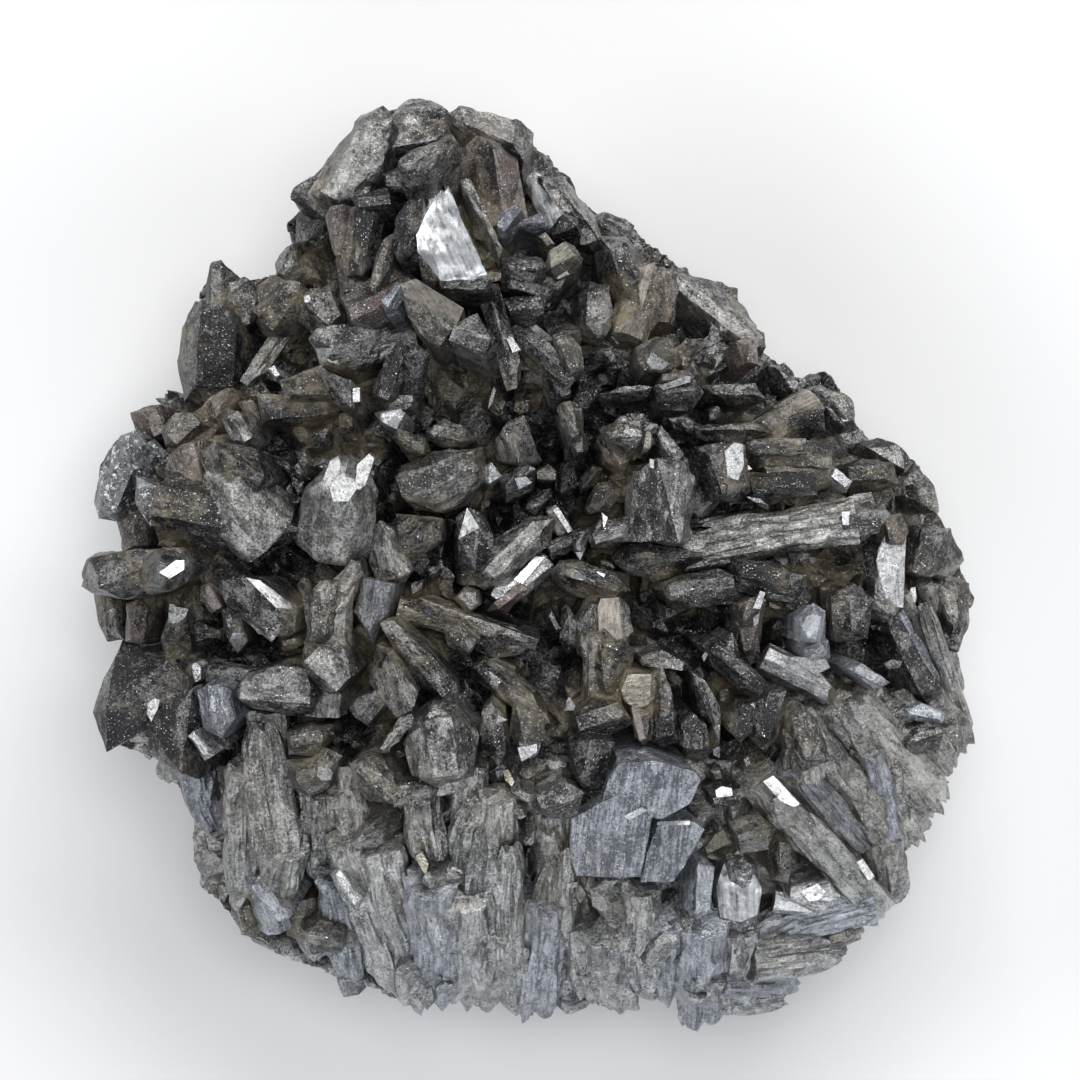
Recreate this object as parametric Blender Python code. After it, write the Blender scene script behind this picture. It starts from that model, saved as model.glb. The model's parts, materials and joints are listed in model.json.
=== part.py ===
"""Stibnite crystal spray: a broken, intergrown mass with its separate crystals.

Frame: +Z is up, away from the surface the specimen lies on. +Y runs towards the
narrow knob, +X to the knob's right. The origin is under the middle of the box.
Places and sizes in the lists are in millimetres, angles in degrees.
"""

import math

import bmesh
import bpy
from mathutils import Matrix, Vector, noise

MM = 0.001

# --- Driving dimensions of the mass (mm) ---
RIM_HEIGHT = 18.0          # height of the widest line of the mass above the surface
RIM_WAVE = 3.0             # how far the rim wanders up and down
RIM_WANDER = 14.0          # distance over which it wanders
BASE_SHARE = 0.66          # flat broken patch, as a share of the outline
BASE_RINGS = 3             # sphere rings that lie flat in that patch
TOP_FLATNESS = 7.0         # larger keeps the top level for longer before the rim
RELIEF_LIFT = 4.0          # added to every height in the relief list
RELIEF_REACH = 9.0         # how far each relief point is felt
CHUNK_SIZE = 9.0           # size of the broken chunks
CHUNK_DEPTH = 2.6          # their depth
CHUNK_SHIFTS = (3.1, 17.7, 41.3)  # where in the noise the pushes along X, Y and Z are read
UNDERCUT = 0.70            # below 1.0 the broken underside bulges outward
SPHERE_RINGS = 16
COLUMN_STEP = 3            # one broken side column for this many outline points
COLUMN_SIZE = (7.0, 5.6)   # width and depth of a side column
COLUMN_FOOT = (0.70, 3.4)  # where it starts: share of the outline, height
COLUMN_HEAD = (0.97, 0.5)  # where it ends: share of the outline, height over the rim
CLEARANCE = 0.3            # gap between a crystal and its socket
ROOT_DEPTH = 3.0           # how far a crystal's root runs on into the mass

# Seen from above, anticlockwise from the top of the knob (mm).
OUTLINE = [
    (-12.6, 45.4), (-17.2, 43.2), (-20.6, 39.6), (-22.8, 35.4), (-23.6, 31.4),
    (-27.0, 28.0), (-32.2, 28.8), (-34.0, 23.0), (-35.2, 18.2), (-39.6, 14.4),
    (-41.6, 10.4), (-42.0, 5.8), (-40.8, 2.2), (-43.0, -2.6), (-41.6, -8.6),
    (-42.8, -13.4), (-43.2, -18.0), (-37.4, -22.4), (-34.6, -27.0), (-33.0, -31.6),
    (-29.8, -36.2), (-24.6, -38.8), (-19.6, -41.6), (-11.8, -45.4), (-6.6, -44.2),
    (-0.2, -46.0), (7.4, -44.6), (12.2, -42.8), (17.0, -46.2), (22.6, -44.8),
    (28.4, -40.6), (33.2, -36.8), (35.8, -31.6), (39.6, -27.0), (42.0, -22.2),
    (44.4, -17.2), (42.2, -11.2), (43.6, -3.4), (42.0, 2.6), (39.6, 8.2),
    (36.6, 11.0), (32.6, 12.6), (30.6, 17.2), (26.4, 19.0), (22.8, 22.2),
    (20.0, 26.0), (14.6, 28.8), (10.8, 30.6), (9.2, 33.4), (5.6, 35.4),
    (2.6, 40.4), (-0.8, 43.2), (-5.2, 44.0), (-9.8, 45.6),
]

# Height of the mass's upper side at hand-set places (x, y, height; mm).
RELIEF = [
    (1.0, 6.0, 21.0), (-2.0, -3.0, 25.0), (6.0, 0.0, 24.0), (-4.0, 12.0, 24.0),
    (-30.0, 8.0, 29.0), (-20.0, 8.0, 30.0), (-33.0, -7.0, 26.0), (-36.0, -16.0, 25.0),
    (-25.0, -10.0, 28.0), (-14.0, -2.0, 27.0), (-29.0, 20.0, 23.0), (-24.0, 26.0, 21.0),
    (-18.0, 18.0, 26.0), (-12.0, 37.0, 31.0), (-4.0, 31.0, 31.0), (-12.0, 28.0, 29.0),
    (1.0, 38.0, 26.0), (-2.0, 21.0, 28.0), (8.0, 23.0, 28.0), (18.0, 23.0, 24.0),
    (15.0, 15.0, 28.0), (25.0, 10.0, 29.0), (14.0, 7.0, 29.0), (30.0, 1.0, 30.0),
    (38.0, 0.0, 25.0), (36.0, -8.0, 26.0), (23.0, -8.0, 29.0), (12.0, -8.0, 28.0),
    (32.0, -20.0, 27.0), (39.0, -22.0, 19.0), (22.0, -22.0, 30.0), (10.0, -22.0, 31.0),
    (-2.0, -20.0, 31.0), (-12.0, -18.0, 30.0), (-22.0, -24.0, 27.0), (-4.0, -33.0, 27.0),
    (9.0, -33.0, 26.0), (22.0, -35.0, 23.0), (-20.0, -34.0, 22.0), (0.0, -42.0, 18.0),
]

# Facets that close a crystal's free end: (tilt from square, side they face).
ENDS = {
    "chisel": [(48, 90), (52, 270), (66, 8)],
    "point": [(52, 40), (56, 130), (50, 222), (58, 315)],
    "slant": [(34, 80), (62, 250), (66, 350)],
    "dome": [(30, 95), (40, 265), (55, 0), (55, 185)],
    "broken": [(14, 60), (40, 200)],
}

DARK = (0.045, 0.045, 0.047)
GREY = (0.115, 0.118, 0.122)
BLUE = (0.150, 0.165, 0.190)
BRIGHT = (0.420, 0.415, 0.400)
BROWN = (0.075, 0.055, 0.045)
GOLD = (0.300, 0.265, 0.200)
SPECKLED = (0.240, 0.255, 0.270)


def clear_scene():
    for thing in list(bpy.data.objects):
        bpy.data.objects.remove(thing, do_unlink=True)


def new_collection(name):
    collection = bpy.data.collections.new(name)
    bpy.context.scene.collection.children.link(collection)
    return collection


def stibnite_material(name, colour, roughness):
    material = bpy.data.materials.new(name)
    material.use_nodes = True
    shader = material.node_tree.nodes["Principled BSDF"]
    shader.inputs["Base Color"].default_value = (*colour, 1.0)
    shader.inputs["Roughness"].default_value = roughness
    shader.inputs["Metallic"].default_value = 0.8
    return material


def outline_point(index):
    return Vector(OUTLINE[index % len(OUTLINE)])


def relief_height(x, y):
    """Smooth surface through the relief points, each felt within its reach."""
    total = 0.0
    weight_sum = 0.0
    for px, py, height in RELIEF:
        distance_squared = (x - px) ** 2 + (y - py) ** 2
        weight = 1.0 / (distance_squared / RELIEF_REACH ** 2 + 0.08) ** 2
        total += weight * height
        weight_sum += weight
    return total / weight_sum + RELIEF_LIFT


def rim_height(corner):
    return RIM_HEIGHT + RIM_WAVE * noise.noise(Vector((corner.x, corner.y, 0.0)) / RIM_WANDER)


def top_height(flat, share, rim):
    """Height of the upper side, a given share of the way out to the rim."""
    top = relief_height(flat.x, flat.y)
    return rim + (top - rim) * (1.0 - min(share, 1.0) ** TOP_FLATNESS)


def surface_height(x, y):
    """Height of the mass's upper side under any place inside the outline."""
    flat = Vector((x, y))
    for index in range(len(OUTLINE)):
        first = outline_point(index)
        second = outline_point(index + 1)
        spread = first.x * second.y - first.y * second.x
        towards_first = (flat.x * second.y - flat.y * second.x) / spread
        towards_second = (first.x * flat.y - first.y * flat.x) / spread
        if towards_first >= 0.0 and towards_second >= 0.0:
            share = towards_first + towards_second
            corner = (first * towards_first + second * towards_second) / max(share, 0.01)
            return top_height(flat, share, rim_height(corner))
    return relief_height(x, y)


def mass_point(direction, column):
    """Place of one vertex of the mass, from its direction on the first sphere."""
    share = math.acos(max(-1.0, min(1.0, direction.z))) / (math.pi / 2)
    corner = outline_point(column)
    rim = rim_height(corner)
    if share <= 1.0:
        flat = corner * share
        return Vector((flat.x, flat.y, top_height(flat, share, rim)))
    half_rings = SPHERE_RINGS / 2
    ring = (2.0 - share) * half_rings
    if ring < BASE_RINGS + 0.5:
        flat = corner * BASE_SHARE * ring / BASE_RINGS
        return Vector((flat.x, flat.y, 0.0))
    climb = (ring - BASE_RINGS) / (half_rings - BASE_RINGS)
    flat = corner * (BASE_SHARE + (1.0 - BASE_SHARE) * climb ** UNDERCUT)
    return Vector((flat.x, flat.y, rim * climb))


def mass_column(direction):
    """Which outline point this vertex belongs to: sphere columns match them."""
    turn = math.atan2(direction.y, direction.x) / (2 * math.pi)
    return round(turn * len(OUTLINE)) % len(OUTLINE)


def broken_chunks(point):
    """Push a vertex in or out so that neighbouring faces break into chunks."""
    if point.z <= 0.0:
        return point
    place = point / CHUNK_SIZE
    push = Vector(noise.noise(place + Vector((shift, 0.0, -shift))) for shift in CHUNK_SHIFTS)
    push *= CHUNK_DEPTH
    push.z = max(push.z, -point.z * 0.5)
    return point + push


def make_mass():
    shape = bmesh.new()
    bmesh.ops.create_uvsphere(
        shape, u_segments=len(OUTLINE), v_segments=SPHERE_RINGS, radius=1.0)
    for vertex in shape.verts:
        direction = vertex.co.normalized()
        place = mass_point(direction, mass_column(direction))
        vertex.co = broken_chunks(place) * MM
    bmesh.ops.triangulate(shape, faces=shape.faces)
    bmesh.ops.recalc_face_normals(shape, faces=shape.faces)
    return object_from(shape, "intergrown_mass")


def object_from(shape, name, matrix=None):
    """An object that takes the shape, placed and turned by the matrix."""
    mesh = bpy.data.meshes.new(name)
    shape.to_mesh(mesh)
    shape.free()
    thing = bpy.data.objects.new(name, mesh)
    if matrix is not None:
        thing.matrix_world = matrix
    return thing


def cut_facet(shape, point, normal):
    """Slice off what lies beyond a plane and close the cut with one facet."""
    geometry = shape.verts[:] + shape.edges[:] + shape.faces[:]
    cut = bmesh.ops.bisect_plane(
        shape, geom=geometry, plane_co=point, plane_no=normal, clear_outer=True)
    rim = [item for item in cut["geom_cut"] if isinstance(item, bmesh.types.BMEdge)]
    if rim:
        bmesh.ops.contextual_create(shape, geom=rim)


def prism(length, width, depth, taper, sides, end):
    """A striated prism along +Z, from its root at the origin to its faceted end."""
    shape = bmesh.new()
    bmesh.ops.create_cone(
        shape, cap_ends=True, segments=sides, radius1=0.5, radius2=0.5,
        depth=1.0, matrix=Matrix.Translation((0.0, 0.0, 0.5)))
    for vertex in shape.verts:
        at_tip = vertex.co.z > 0.5
        vertex.co.x *= width * (taper if at_tip else 1.0)
        vertex.co.y *= depth * (min(taper, 1.0) if at_tip else 1.0)
        vertex.co.z *= length
    for tilt, side in ENDS[end]:
        slope = math.radians(tilt)
        facing = math.radians(side)
        normal = Vector((
            math.sin(slope) * math.cos(facing),
            math.sin(slope) * math.sin(facing),
            math.cos(slope)))
        cut_facet(shape, Vector((0.0, 0.0, length)), normal)
    return shape


def growth_matrix(tip, root, rise, roll, sit, bury):
    """Matrix and length of a crystal whose tip and root are given seen from above.

    Its middle line leaves the mass at the root, sit above the surface there, and its
    buried end lies the bury distance further back along the same line. It stands off
    the slope between root and tip by the rise.
    """
    flat = Vector(tip) - Vector(root)
    climb = surface_height(*tip) - surface_height(*root)
    slope = math.atan2(climb, flat.length) + math.radians(rise)
    length = flat.length / math.cos(slope) + bury
    heading = flat.normalized()
    axis = Vector((heading.x * math.cos(slope), heading.y * math.cos(slope), math.sin(slope)))
    turn = Matrix.Rotation(math.radians(roll), 3, axis)
    across = turn @ Vector((-heading.y, heading.x, 0.0))
    outward = axis.cross(across)
    start = Vector((root[0], root[1], surface_height(*root) + sit))
    matrix = Matrix((across, outward, axis)).transposed().to_4x4()
    matrix.translation = start - axis * bury
    return matrix, length


def crystal_shape(grow, tip, root, rise=20, size=(4, 3), roll=0, end="chisel", sit=0.8,
                  taper=0.92, sides=8, bury=ROOT_DEPTH):
    """One crystal, or with grow the socket that leaves that much room around it."""
    matrix, length = growth_matrix(tip, root, rise, roll, sit, bury)
    width, depth = size
    shape = prism(length + 2 * grow, width + 2 * grow, depth + 2 * grow, taper, sides, end)
    bmesh.ops.translate(shape, verts=shape.verts, vec=(0.0, 0.0, -grow))
    return in_metres(shape, matrix)


def in_metres(shape, matrix):
    """A shape drawn in millimetres, and where it goes, both turned into metres."""
    bmesh.ops.scale(shape, verts=shape.verts, vec=(MM, MM, MM))
    bmesh.ops.recalc_face_normals(shape, faces=shape.faces)
    matrix.translation *= MM
    return shape, matrix


def side_column(number):
    """One column of the radiating fibres, broken off where it reaches the rim."""
    corner = outline_point(number * COLUMN_STEP)
    foot = (corner * COLUMN_FOOT[0]).to_3d()
    foot.z = COLUMN_FOOT[1]
    head = (corner * COLUMN_HEAD[0]).to_3d()
    head.z = rim_height(corner) + COLUMN_HEAD[1]
    axis = head - foot
    shape = prism(axis.length, *COLUMN_SIZE, 0.92, 6, "broken")
    matrix = axis.to_track_quat("Z", "Y").to_matrix().to_4x4()
    matrix.translation = foot
    return in_metres(shape, matrix)


def add_boolean(thing, cutter, operation):
    """Apply one exact Boolean to a mesh at once, so later ones build on it."""
    change = thing.modifiers.new(operation.lower(), "BOOLEAN")
    change.operation = operation
    change.object = cutter
    change.solver = "EXACT"
    bpy.context.view_layer.update()
    evaluated = thing.evaluated_get(bpy.context.evaluated_depsgraph_get())
    mesh = bpy.data.meshes.new_from_object(evaluated)
    thing.modifiers.clear()
    thing.data = mesh


def keep_largest_body(thing):
    """Drop splinters that a socket has cut loose from the mass."""
    shape = bmesh.new()
    shape.from_mesh(thing.data)
    waiting = set(shape.verts)
    bodies = []
    while waiting:
        body = set()
        front = [waiting.pop()]
        while front:
            vertex = front.pop()
            body.add(vertex)
            for edge in vertex.link_edges:
                other = edge.other_vert(vertex)
                if other in waiting:
                    waiting.remove(other)
                    front.append(other)
        bodies.append(body)
    bodies.sort(key=len)
    for body in bodies[:-1]:
        bmesh.ops.delete(shape, geom=list(body), context="VERTS")
    shape.to_mesh(thing.data)
    shape.free()


# Lumps and columns that have grown into the mass and are part of its solid.
FUSED = [
    dict(tip=(-14.0, 43.2), root=(-19.6, 36.4), rise=12, size=(7.5, 6.0), end="dome"),
    dict(tip=(-3.0, 42.4), root=(-9.0, 38.6), rise=10, size=(6.0, 5.0), end="broken"),
    dict(tip=(-34.0, 22.6), root=(-29.0, 18.6), rise=15, size=(6.0, 4.0), end="dome"),
    dict(tip=(-40.6, -14.2), root=(-33.6, -15.6), rise=15, size=(7.0, 6.0), end="dome"),
    dict(tip=(-38.4, -19.2), root=(-33.0, -16.8), rise=12, size=(5.5, 5.0), end="dome"),
    dict(tip=(8.6, 14.4), root=(13.6, 9.6), rise=14, size=(4.4, 4.0), end="broken"),
    dict(tip=(21.6, 22.4), root=(15.6, 19.2), rise=15, size=(7.0, 4.0), end="broken"),
    dict(tip=(40.0, -24.6), root=(31.0, -16.6), rise=3, size=(7.5, 4.0), end="broken"),
    dict(tip=(42.4, -19.2), root=(33.4, -14.2), rise=3, size=(6.0, 4.0), end="broken"),
    dict(tip=(-10.6, -42.6), root=(-8.6, -31.6), rise=2, size=(7.5, 5.0), end="broken"),
    dict(tip=(-20.4, -39.4), root=(-15.6, -27.6), rise=2, size=(6.5, 5.0), end="broken"),
    dict(tip=(10.6, -42.4), root=(8.4, -33.6), rise=2, size=(6.0, 4.6), end="broken"),
    dict(tip=(17.0, -43.6), root=(15.0, -37.6), rise=2, size=(6.0, 4.6), end="broken"),
]

# Separate crystals, by the part of the specimen they stand in.
KNOB = {
    "knob_brown_blade": dict(
        tip=(-4.6, 42.0), root=(-3.2, 33.6), rise=22, size=(5.6, 3.0), end="slant",
        roll=-8, bury=1.0, colour=BROWN),
    "knob_silver_blade": dict(
        tip=(-7.6, 28.2), root=(-9.3, 36.4), rise=8, size=(2.4, 2.4), end="broken",
        taper=2.6, bury=1.0, colour=BRIGHT),
    "knob_second_silver_blade": dict(
        tip=(2.4, 33.2), root=(0.2, 37.6), rise=16, size=(1.8, 1.8), end="broken",
        taper=1.5, bury=1.0, colour=BRIGHT),
    "knob_red_crystal": dict(
        tip=(-18.1, 35.2), root=(-17.2, 29.2), rise=32, size=(4.6, 4.2), end="chisel", colour=BROWN),
    "knob_gold_stub": dict(
        tip=(3.5, 31.0), root=(2.0, 28.4), rise=45, size=(2.9, 2.6), end="slant",
        sides=6, colour=GOLD),
    "shoulder_bright_crystal": dict(
        tip=(11.3, 29.4), root=(9.9, 24.4), rise=30, size=(4.2, 3.8), end="chisel",
        colour=GOLD),
}

UPPER_LEFT = {
    "shelf_upright_crystal": dict(
        tip=(-31.4, 29.2), root=(-30.8, 25.6), rise=22, size=(2.3, 2.1), end="chisel", colour=DARK),
    "shelf_diagonal_prism": dict(
        tip=(-27.3, 24.4), root=(-23.5, 28.4), rise=24, size=(2.2, 2.2), end="chisel", colour=DARK),
    "gold_purple_prism": dict(
        tip=(-6.8, 23.6), root=(-12.6, 27.2), rise=18, size=(3.0, 2.8), roll=20,
        end="chisel", sides=6, colour=GOLD),
    "slope_bright_prism": dict(
        tip=(-28.5, 17.6), root=(-25.8, 21.8), rise=28, size=(2.2, 2.0), end="chisel", sides=6, colour=GREY),
    "gold_hexagon_stub": dict(
        tip=(-30.6, 16.6), root=(-32.6, 14.0), rise=38, size=(3.3, 2.9), end="slant", sides=6, colour=GOLD),
    "rough_shelf_crystal": dict(
        tip=(-21.3, 20.2), root=(-14.6, 21.4), rise=24, size=(3.2, 3.0), end="slant", colour=GREY),
    "leaf_crystal": dict(
        tip=(-11.5, 21.6), root=(-12.1, 16.8), rise=30, size=(2.8, 1.8), end="point", colour=DARK),
    "long_upper_prism": dict(
        tip=(-1.6, 17.2), root=(-3.7, 24.4), rise=24, size=(2.7, 2.5), end="chisel", sides=6, colour=DARK),
    "crossing_upper_prism": dict(
        tip=(4.2, 18.0), root=(0.4, 21.2), rise=26, size=(2.6, 2.4), end="chisel",
        sides=6, colour=DARK),
}

LEFT = {
    "speckled_plate": dict(
        tip=(-42.6, 5.6), root=(-38.6, 11.4), rise=-12, size=(4.6, 1.8), end="point", roll=15, bury=1.0, colour=SPECKLED),
    "left_big_crystal": dict(
        tip=(-32.4, 9.0), root=(-28.2, 5.0), rise=40, size=(8.8, 7.4), end="dome",
        roll=35, colour=GREY),
    "left_second_big_crystal": dict(
        tip=(-18.2, 10.2), root=(-19.4, 4.2), rise=40, size=(8.4, 7.2), end="dome", roll=-20, colour=GREY),
    "left_arm_crystal": dict(
        tip=(-34.6, -0.8), root=(-43.6, -1.2), rise=20, size=(4.6, 4.2), end="dome", bury=0.0, colour=DARK),
    "white_facet_column": dict(
        tip=(-35.7, -4.4), root=(-35.2, -8.8), rise=38, size=(3.6, 3.3), end="slant", colour=DARK),
    "left_large_prism": dict(
        tip=(-24.6, -6.4), root=(-29.8, -2.2), rise=22, size=(4.2, 3.6), end="chisel", colour=DARK),
    "left_upright_crystal": dict(
        tip=(-19.8, -2.2), root=(-20.6, -12.0), rise=18, size=(4.8, 4.4), end="chisel", colour=GREY),
    "left_lying_crystal": dict(
        tip=(-24.0, -12.6), root=(-29.2, -11.6), rise=18, size=(3.2, 3.0), end="dome", colour=DARK),
    "blue_hexagon_crystal": dict(
        tip=(-31.3, -13.2), root=(-32.1, -17.4), rise=32, size=(3.4, 3.0), end="point", sides=6, colour=BLUE),
    "light_blade_column": dict(
        tip=(-27.0, -15.4), root=(-25.6, -28.0), rise=2, sit=1.6, size=(5.0, 2.8), end="broken", bury=1.0, colour=GREY),
    "lower_left_stub": dict(
        tip=(-20.2, -18.4), root=(-22.0, -21.8), rise=32, size=(3.4, 3.0), end="chisel", bury=1.0, colour=DARK),
    "left_middle_block": dict(
        tip=(-14.2, -11.6), root=(-16.1, -13.9), rise=34, size=(3.4, 3.2), end="chisel", bury=1.5, colour=DARK),
}

MIDDLE = {
    "hollow_upright_prism": dict(
        tip=(3.9, 15.2), root=(4.1, 10.4), rise=30, size=(2.4, 2.2), end="chisel", sides=6, colour=DARK),
    "egg_crystal": dict(
        tip=(-6.3, 5.6), root=(-5.8, -0.4), rise=32, size=(4.0, 3.6), end="dome",
        bury=1.5, colour=DARK),
    "lying_hexagon_crystal": dict(
        tip=(2.8, -1.4), root=(8.2, -2.2), rise=20, size=(3.0, 3.0), end="point",
        sides=6, bury=1.0, colour=DARK),
    "white_facet_prism": dict(
        tip=(-3.4, -3.8), root=(0.4, -0.6), rise=28, size=(2.8, 2.6), roll=30,
        end="chisel", sides=6, bury=1.0, colour=BRIGHT),
    "long_middle_crystal": dict(
        tip=(-0.4, -7.8), root=(-12.4, -4.8), rise=8, sit=1.6, size=(2.6, 2.4), end="dome", bury=1.0, colour=DARK),
    "lead_upright_prism": dict(
        tip=(7.3, -4.8), root=(7.1, -13.4), rise=18, size=(4.8, 4.4), end="point",
        bury=1.5, colour=DARK),
    "bright_facet_prism": dict(
        tip=(1.4, -15.0), root=(-4.5, -10.8), rise=18, size=(3.0, 2.8), roll=20,
        end="slant", sides=6, bury=1.0, colour=GOLD),
    "thin_middle_prism": dict(
        tip=(-13.8, -7.4), root=(-8.4, -13.2), rise=10, sit=1.2, size=(2.0, 1.8), end="chisel", sides=6, bury=1.0, colour=DARK),
    "lilac_facet_crystal": dict(
        tip=(-10.6, -16.0), root=(-8.4, -20.4), rise=30, size=(6.0, 5.2), end="slant", bury=1.5, colour=GREY),
    "gold_facet_host": dict(
        tip=(11.6, -10.8), root=(11.4, -16.4), rise=26, size=(2.8, 2.8), end="slant", bury=1.0, colour=GOLD),
    "lower_dark_block": dict(
        tip=(5.5, -18.0), root=(5.7, -22.2), rise=24, size=(3.6, 3.4), end="chisel", bury=1.0, colour=DARK),
}

RIGHT = {
    "right_stepped_crystal": dict(
        tip=(28.2, 16.2), root=(24.6, 13.8), rise=14, size=(3.5, 3.2), end="slant", colour=GOLD),
    "white_facet_crystal": dict(
        tip=(20.2, 10.6), root=(16.6, 6.8), rise=24, size=(4.2, 3.8), end="chisel", bury=1.5, colour=DARK),
    "right_lying_block": dict(
        tip=(30.0, 9.6), root=(24.0, 8.0), rise=14, size=(4.2, 4.0), end="chisel",
        bury=1.0, colour=DARK),
    "fibrous_trunk": dict(
        tip=(11.6, 0.8), root=(32.0, 4.2), rise=1, sit=1.8, size=(4.4, 4.0), end="broken", bury=0.0, colour=GREY),
    "big_white_facet_crystal": dict(
        tip=(35.8, 4.0), root=(35.4, -3.4), rise=20, size=(3.4, 3.2), end="slant", bury=1.0, sides=6, colour=BRIGHT),
    "red_brown_crystal": dict(
        tip=(21.7, -3.4), root=(21.0, -7.8), rise=28, size=(2.8, 2.6), end="chisel", bury=1.0, colour=BROWN),
    "bluish_facet_crystal": dict(
        tip=(27.6, -4.0), root=(27.6, -7.6), rise=34, size=(3.1, 2.9), end="point", bury=1.5, sides=6, colour=BLUE),
    "right_rim_crystal": dict(
        tip=(30.4, -13.2), root=(23.6, -9.8), rise=14, size=(3.2, 3.0), end="chisel", bury=1.0, colour=BRIGHT),
    "right_outer_blade": dict(
        tip=(38.6, -3.8), root=(42.6, -14.6), rise=2, sit=1.0, size=(1.9, 1.7), end="chisel", bury=0.0, colour=GREY),
}

LOWER = {
    "right_fan_block": dict(
        tip=(26.3, -15.4), root=(26.7, -20.2), rise=28, size=(4.0, 3.6), end="broken", bury=1.0, colour=GREY),
    "diagonal_rod": dict(
        tip=(23.1, -22.2), root=(34.6, -34.6), rise=4, sit=1.4, size=(3.3, 3.0), end="chisel", bury=0.0, colour=GREY),
    "lower_prism": dict(
        tip=(16.2, -30.0), root=(16.4, -34.8), rise=8, sit=1.0, size=(3.2, 2.8), end="chisel", bury=1.0, sides=6, colour=BLUE),
    "speckled_column": dict(
        tip=(20.7, -29.0), root=(20.8, -35.4), rise=6, sit=1.2, size=(3.7, 3.2), end="broken", bury=1.0, colour=SPECKLED),
    "bright_tip_crystal": dict(
        tip=(29.0, -34.2), root=(25.0, -33.8), rise=16, size=(2.6, 2.4), end="slant", bury=1.0, colour=BRIGHT),
    "lower_fibrous_trunk": dict(
        tip=(31.4, -38.2), root=(22.4, -39.6), rise=4, sit=1.2, size=(4.4, 4.0), end="broken", bury=1.0, colour=GREY),
    "bottom_left_column": dict(
        tip=(-4.3, -23.0), root=(-4.1, -38.4), rise=2, sit=1.4, size=(6.6, 4.4), end="broken", bury=0.0, colour=GREY),
    "bottom_right_column": dict(
        tip=(2.3, -26.0), root=(2.2, -37.6), rise=2, sit=1.4, size=(4.0, 3.6), end="broken", bury=0.0, colour=GREY),
    "left_blue_blade": dict(
        tip=(-27.1, -31.4), root=(-25.8, -35.6), rise=12, size=(3.8, 3.0), end="slant", bury=1.0, colour=BLUE),
}

# Blades that overlap one another and so are joined in one solid.
BLUE_FAN = [
    dict(tip=(12.4, -19.6), root=(11.9, -30.4), rise=3, sit=1.4, size=(7.2, 2.6), end="broken", bury=1.0),
    dict(tip=(7.6, -25.6), root=(8.8, -31.0), rise=6, sit=1.4, size=(4.6, 2.4), end="broken", bury=1.0),
    dict(tip=(14.6, -26.2), root=(13.4, -31.0), rise=9, sit=1.6, size=(4.2, 2.4), end="slant", bury=1.0),
]


def set_aside(placed_shape, name, cutters):
    """A tool for a Boolean, kept in the cutters' collection and out of sight."""
    tool = object_from(placed_shape[0], name, placed_shape[1])
    cutters.objects.link(tool)
    tool.hide_render = True
    tool.display_type = "WIRE"
    return tool


def grow_crystal(name, parts, colour, mass, crystals, cutters):
    """Make one crystal, or joined crystals, and the sockets that they sit in."""
    shape, matrix = crystal_shape(0.0, **parts[0])
    whole = object_from(shape, name, matrix)
    crystals.objects.link(whole)
    for number, growth in enumerate(parts):
        socket = set_aside(crystal_shape(CLEARANCE, **growth), f"{name}_socket_{number}", cutters)
        add_boolean(mass, socket, "DIFFERENCE")
        if number > 0:
            blade = set_aside(crystal_shape(0.0, **growth), f"{name}_blade_{number}", cutters)
            add_boolean(whole, blade, "UNION")
    whole.data.materials.append(stibnite_material(name, colour, 0.45))
    return whole


def centre_on_base(crystals):
    """Move everything so that the origin is under the middle of the whole box."""
    corners = [
        thing.matrix_world @ vertex.co
        for thing in crystals.objects for vertex in thing.data.vertices]
    low = Vector(min(corner[axis] for corner in corners) for axis in range(3))
    high = Vector(max(corner[axis] for corner in corners) for axis in range(3))
    middle = (low + high) / 2
    middle.z = low.z
    for thing in crystals.objects:
        thing.location -= middle


def build():
    clear_scene()
    crystals = new_collection("stibnite_crystal_spray")
    cutters = new_collection("cutters")
    mass = make_mass()
    crystals.objects.link(mass)
    for number in range(len(OUTLINE) // COLUMN_STEP):
        column = set_aside(side_column(number), f"side_column_{number}", cutters)
        add_boolean(mass, column, "UNION")
    for number, growth in enumerate(FUSED):
        lump = set_aside(crystal_shape(0.0, **growth), f"lump_{number}", cutters)
        add_boolean(mass, lump, "UNION")
    for region in (KNOB, UPPER_LEFT, LEFT, MIDDLE, RIGHT, LOWER):
        for name, row in region.items():
            growth = {key: value for key, value in row.items() if key != "colour"}
            grow_crystal(name, [growth], row["colour"], mass, crystals, cutters)
    grow_crystal("blue_fan_blades", BLUE_FAN, BLUE, mass, crystals, cutters)
    keep_largest_body(mass)
    mass.data.materials.append(stibnite_material("intergrown_mass", GREY, 0.6))
    centre_on_base(crystals)


build()
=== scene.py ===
import json
import math

import bmesh
import bpy
import numpy as np
from mathutils import Matrix, Vector
from mathutils.bvhtree import BVHTree


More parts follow.
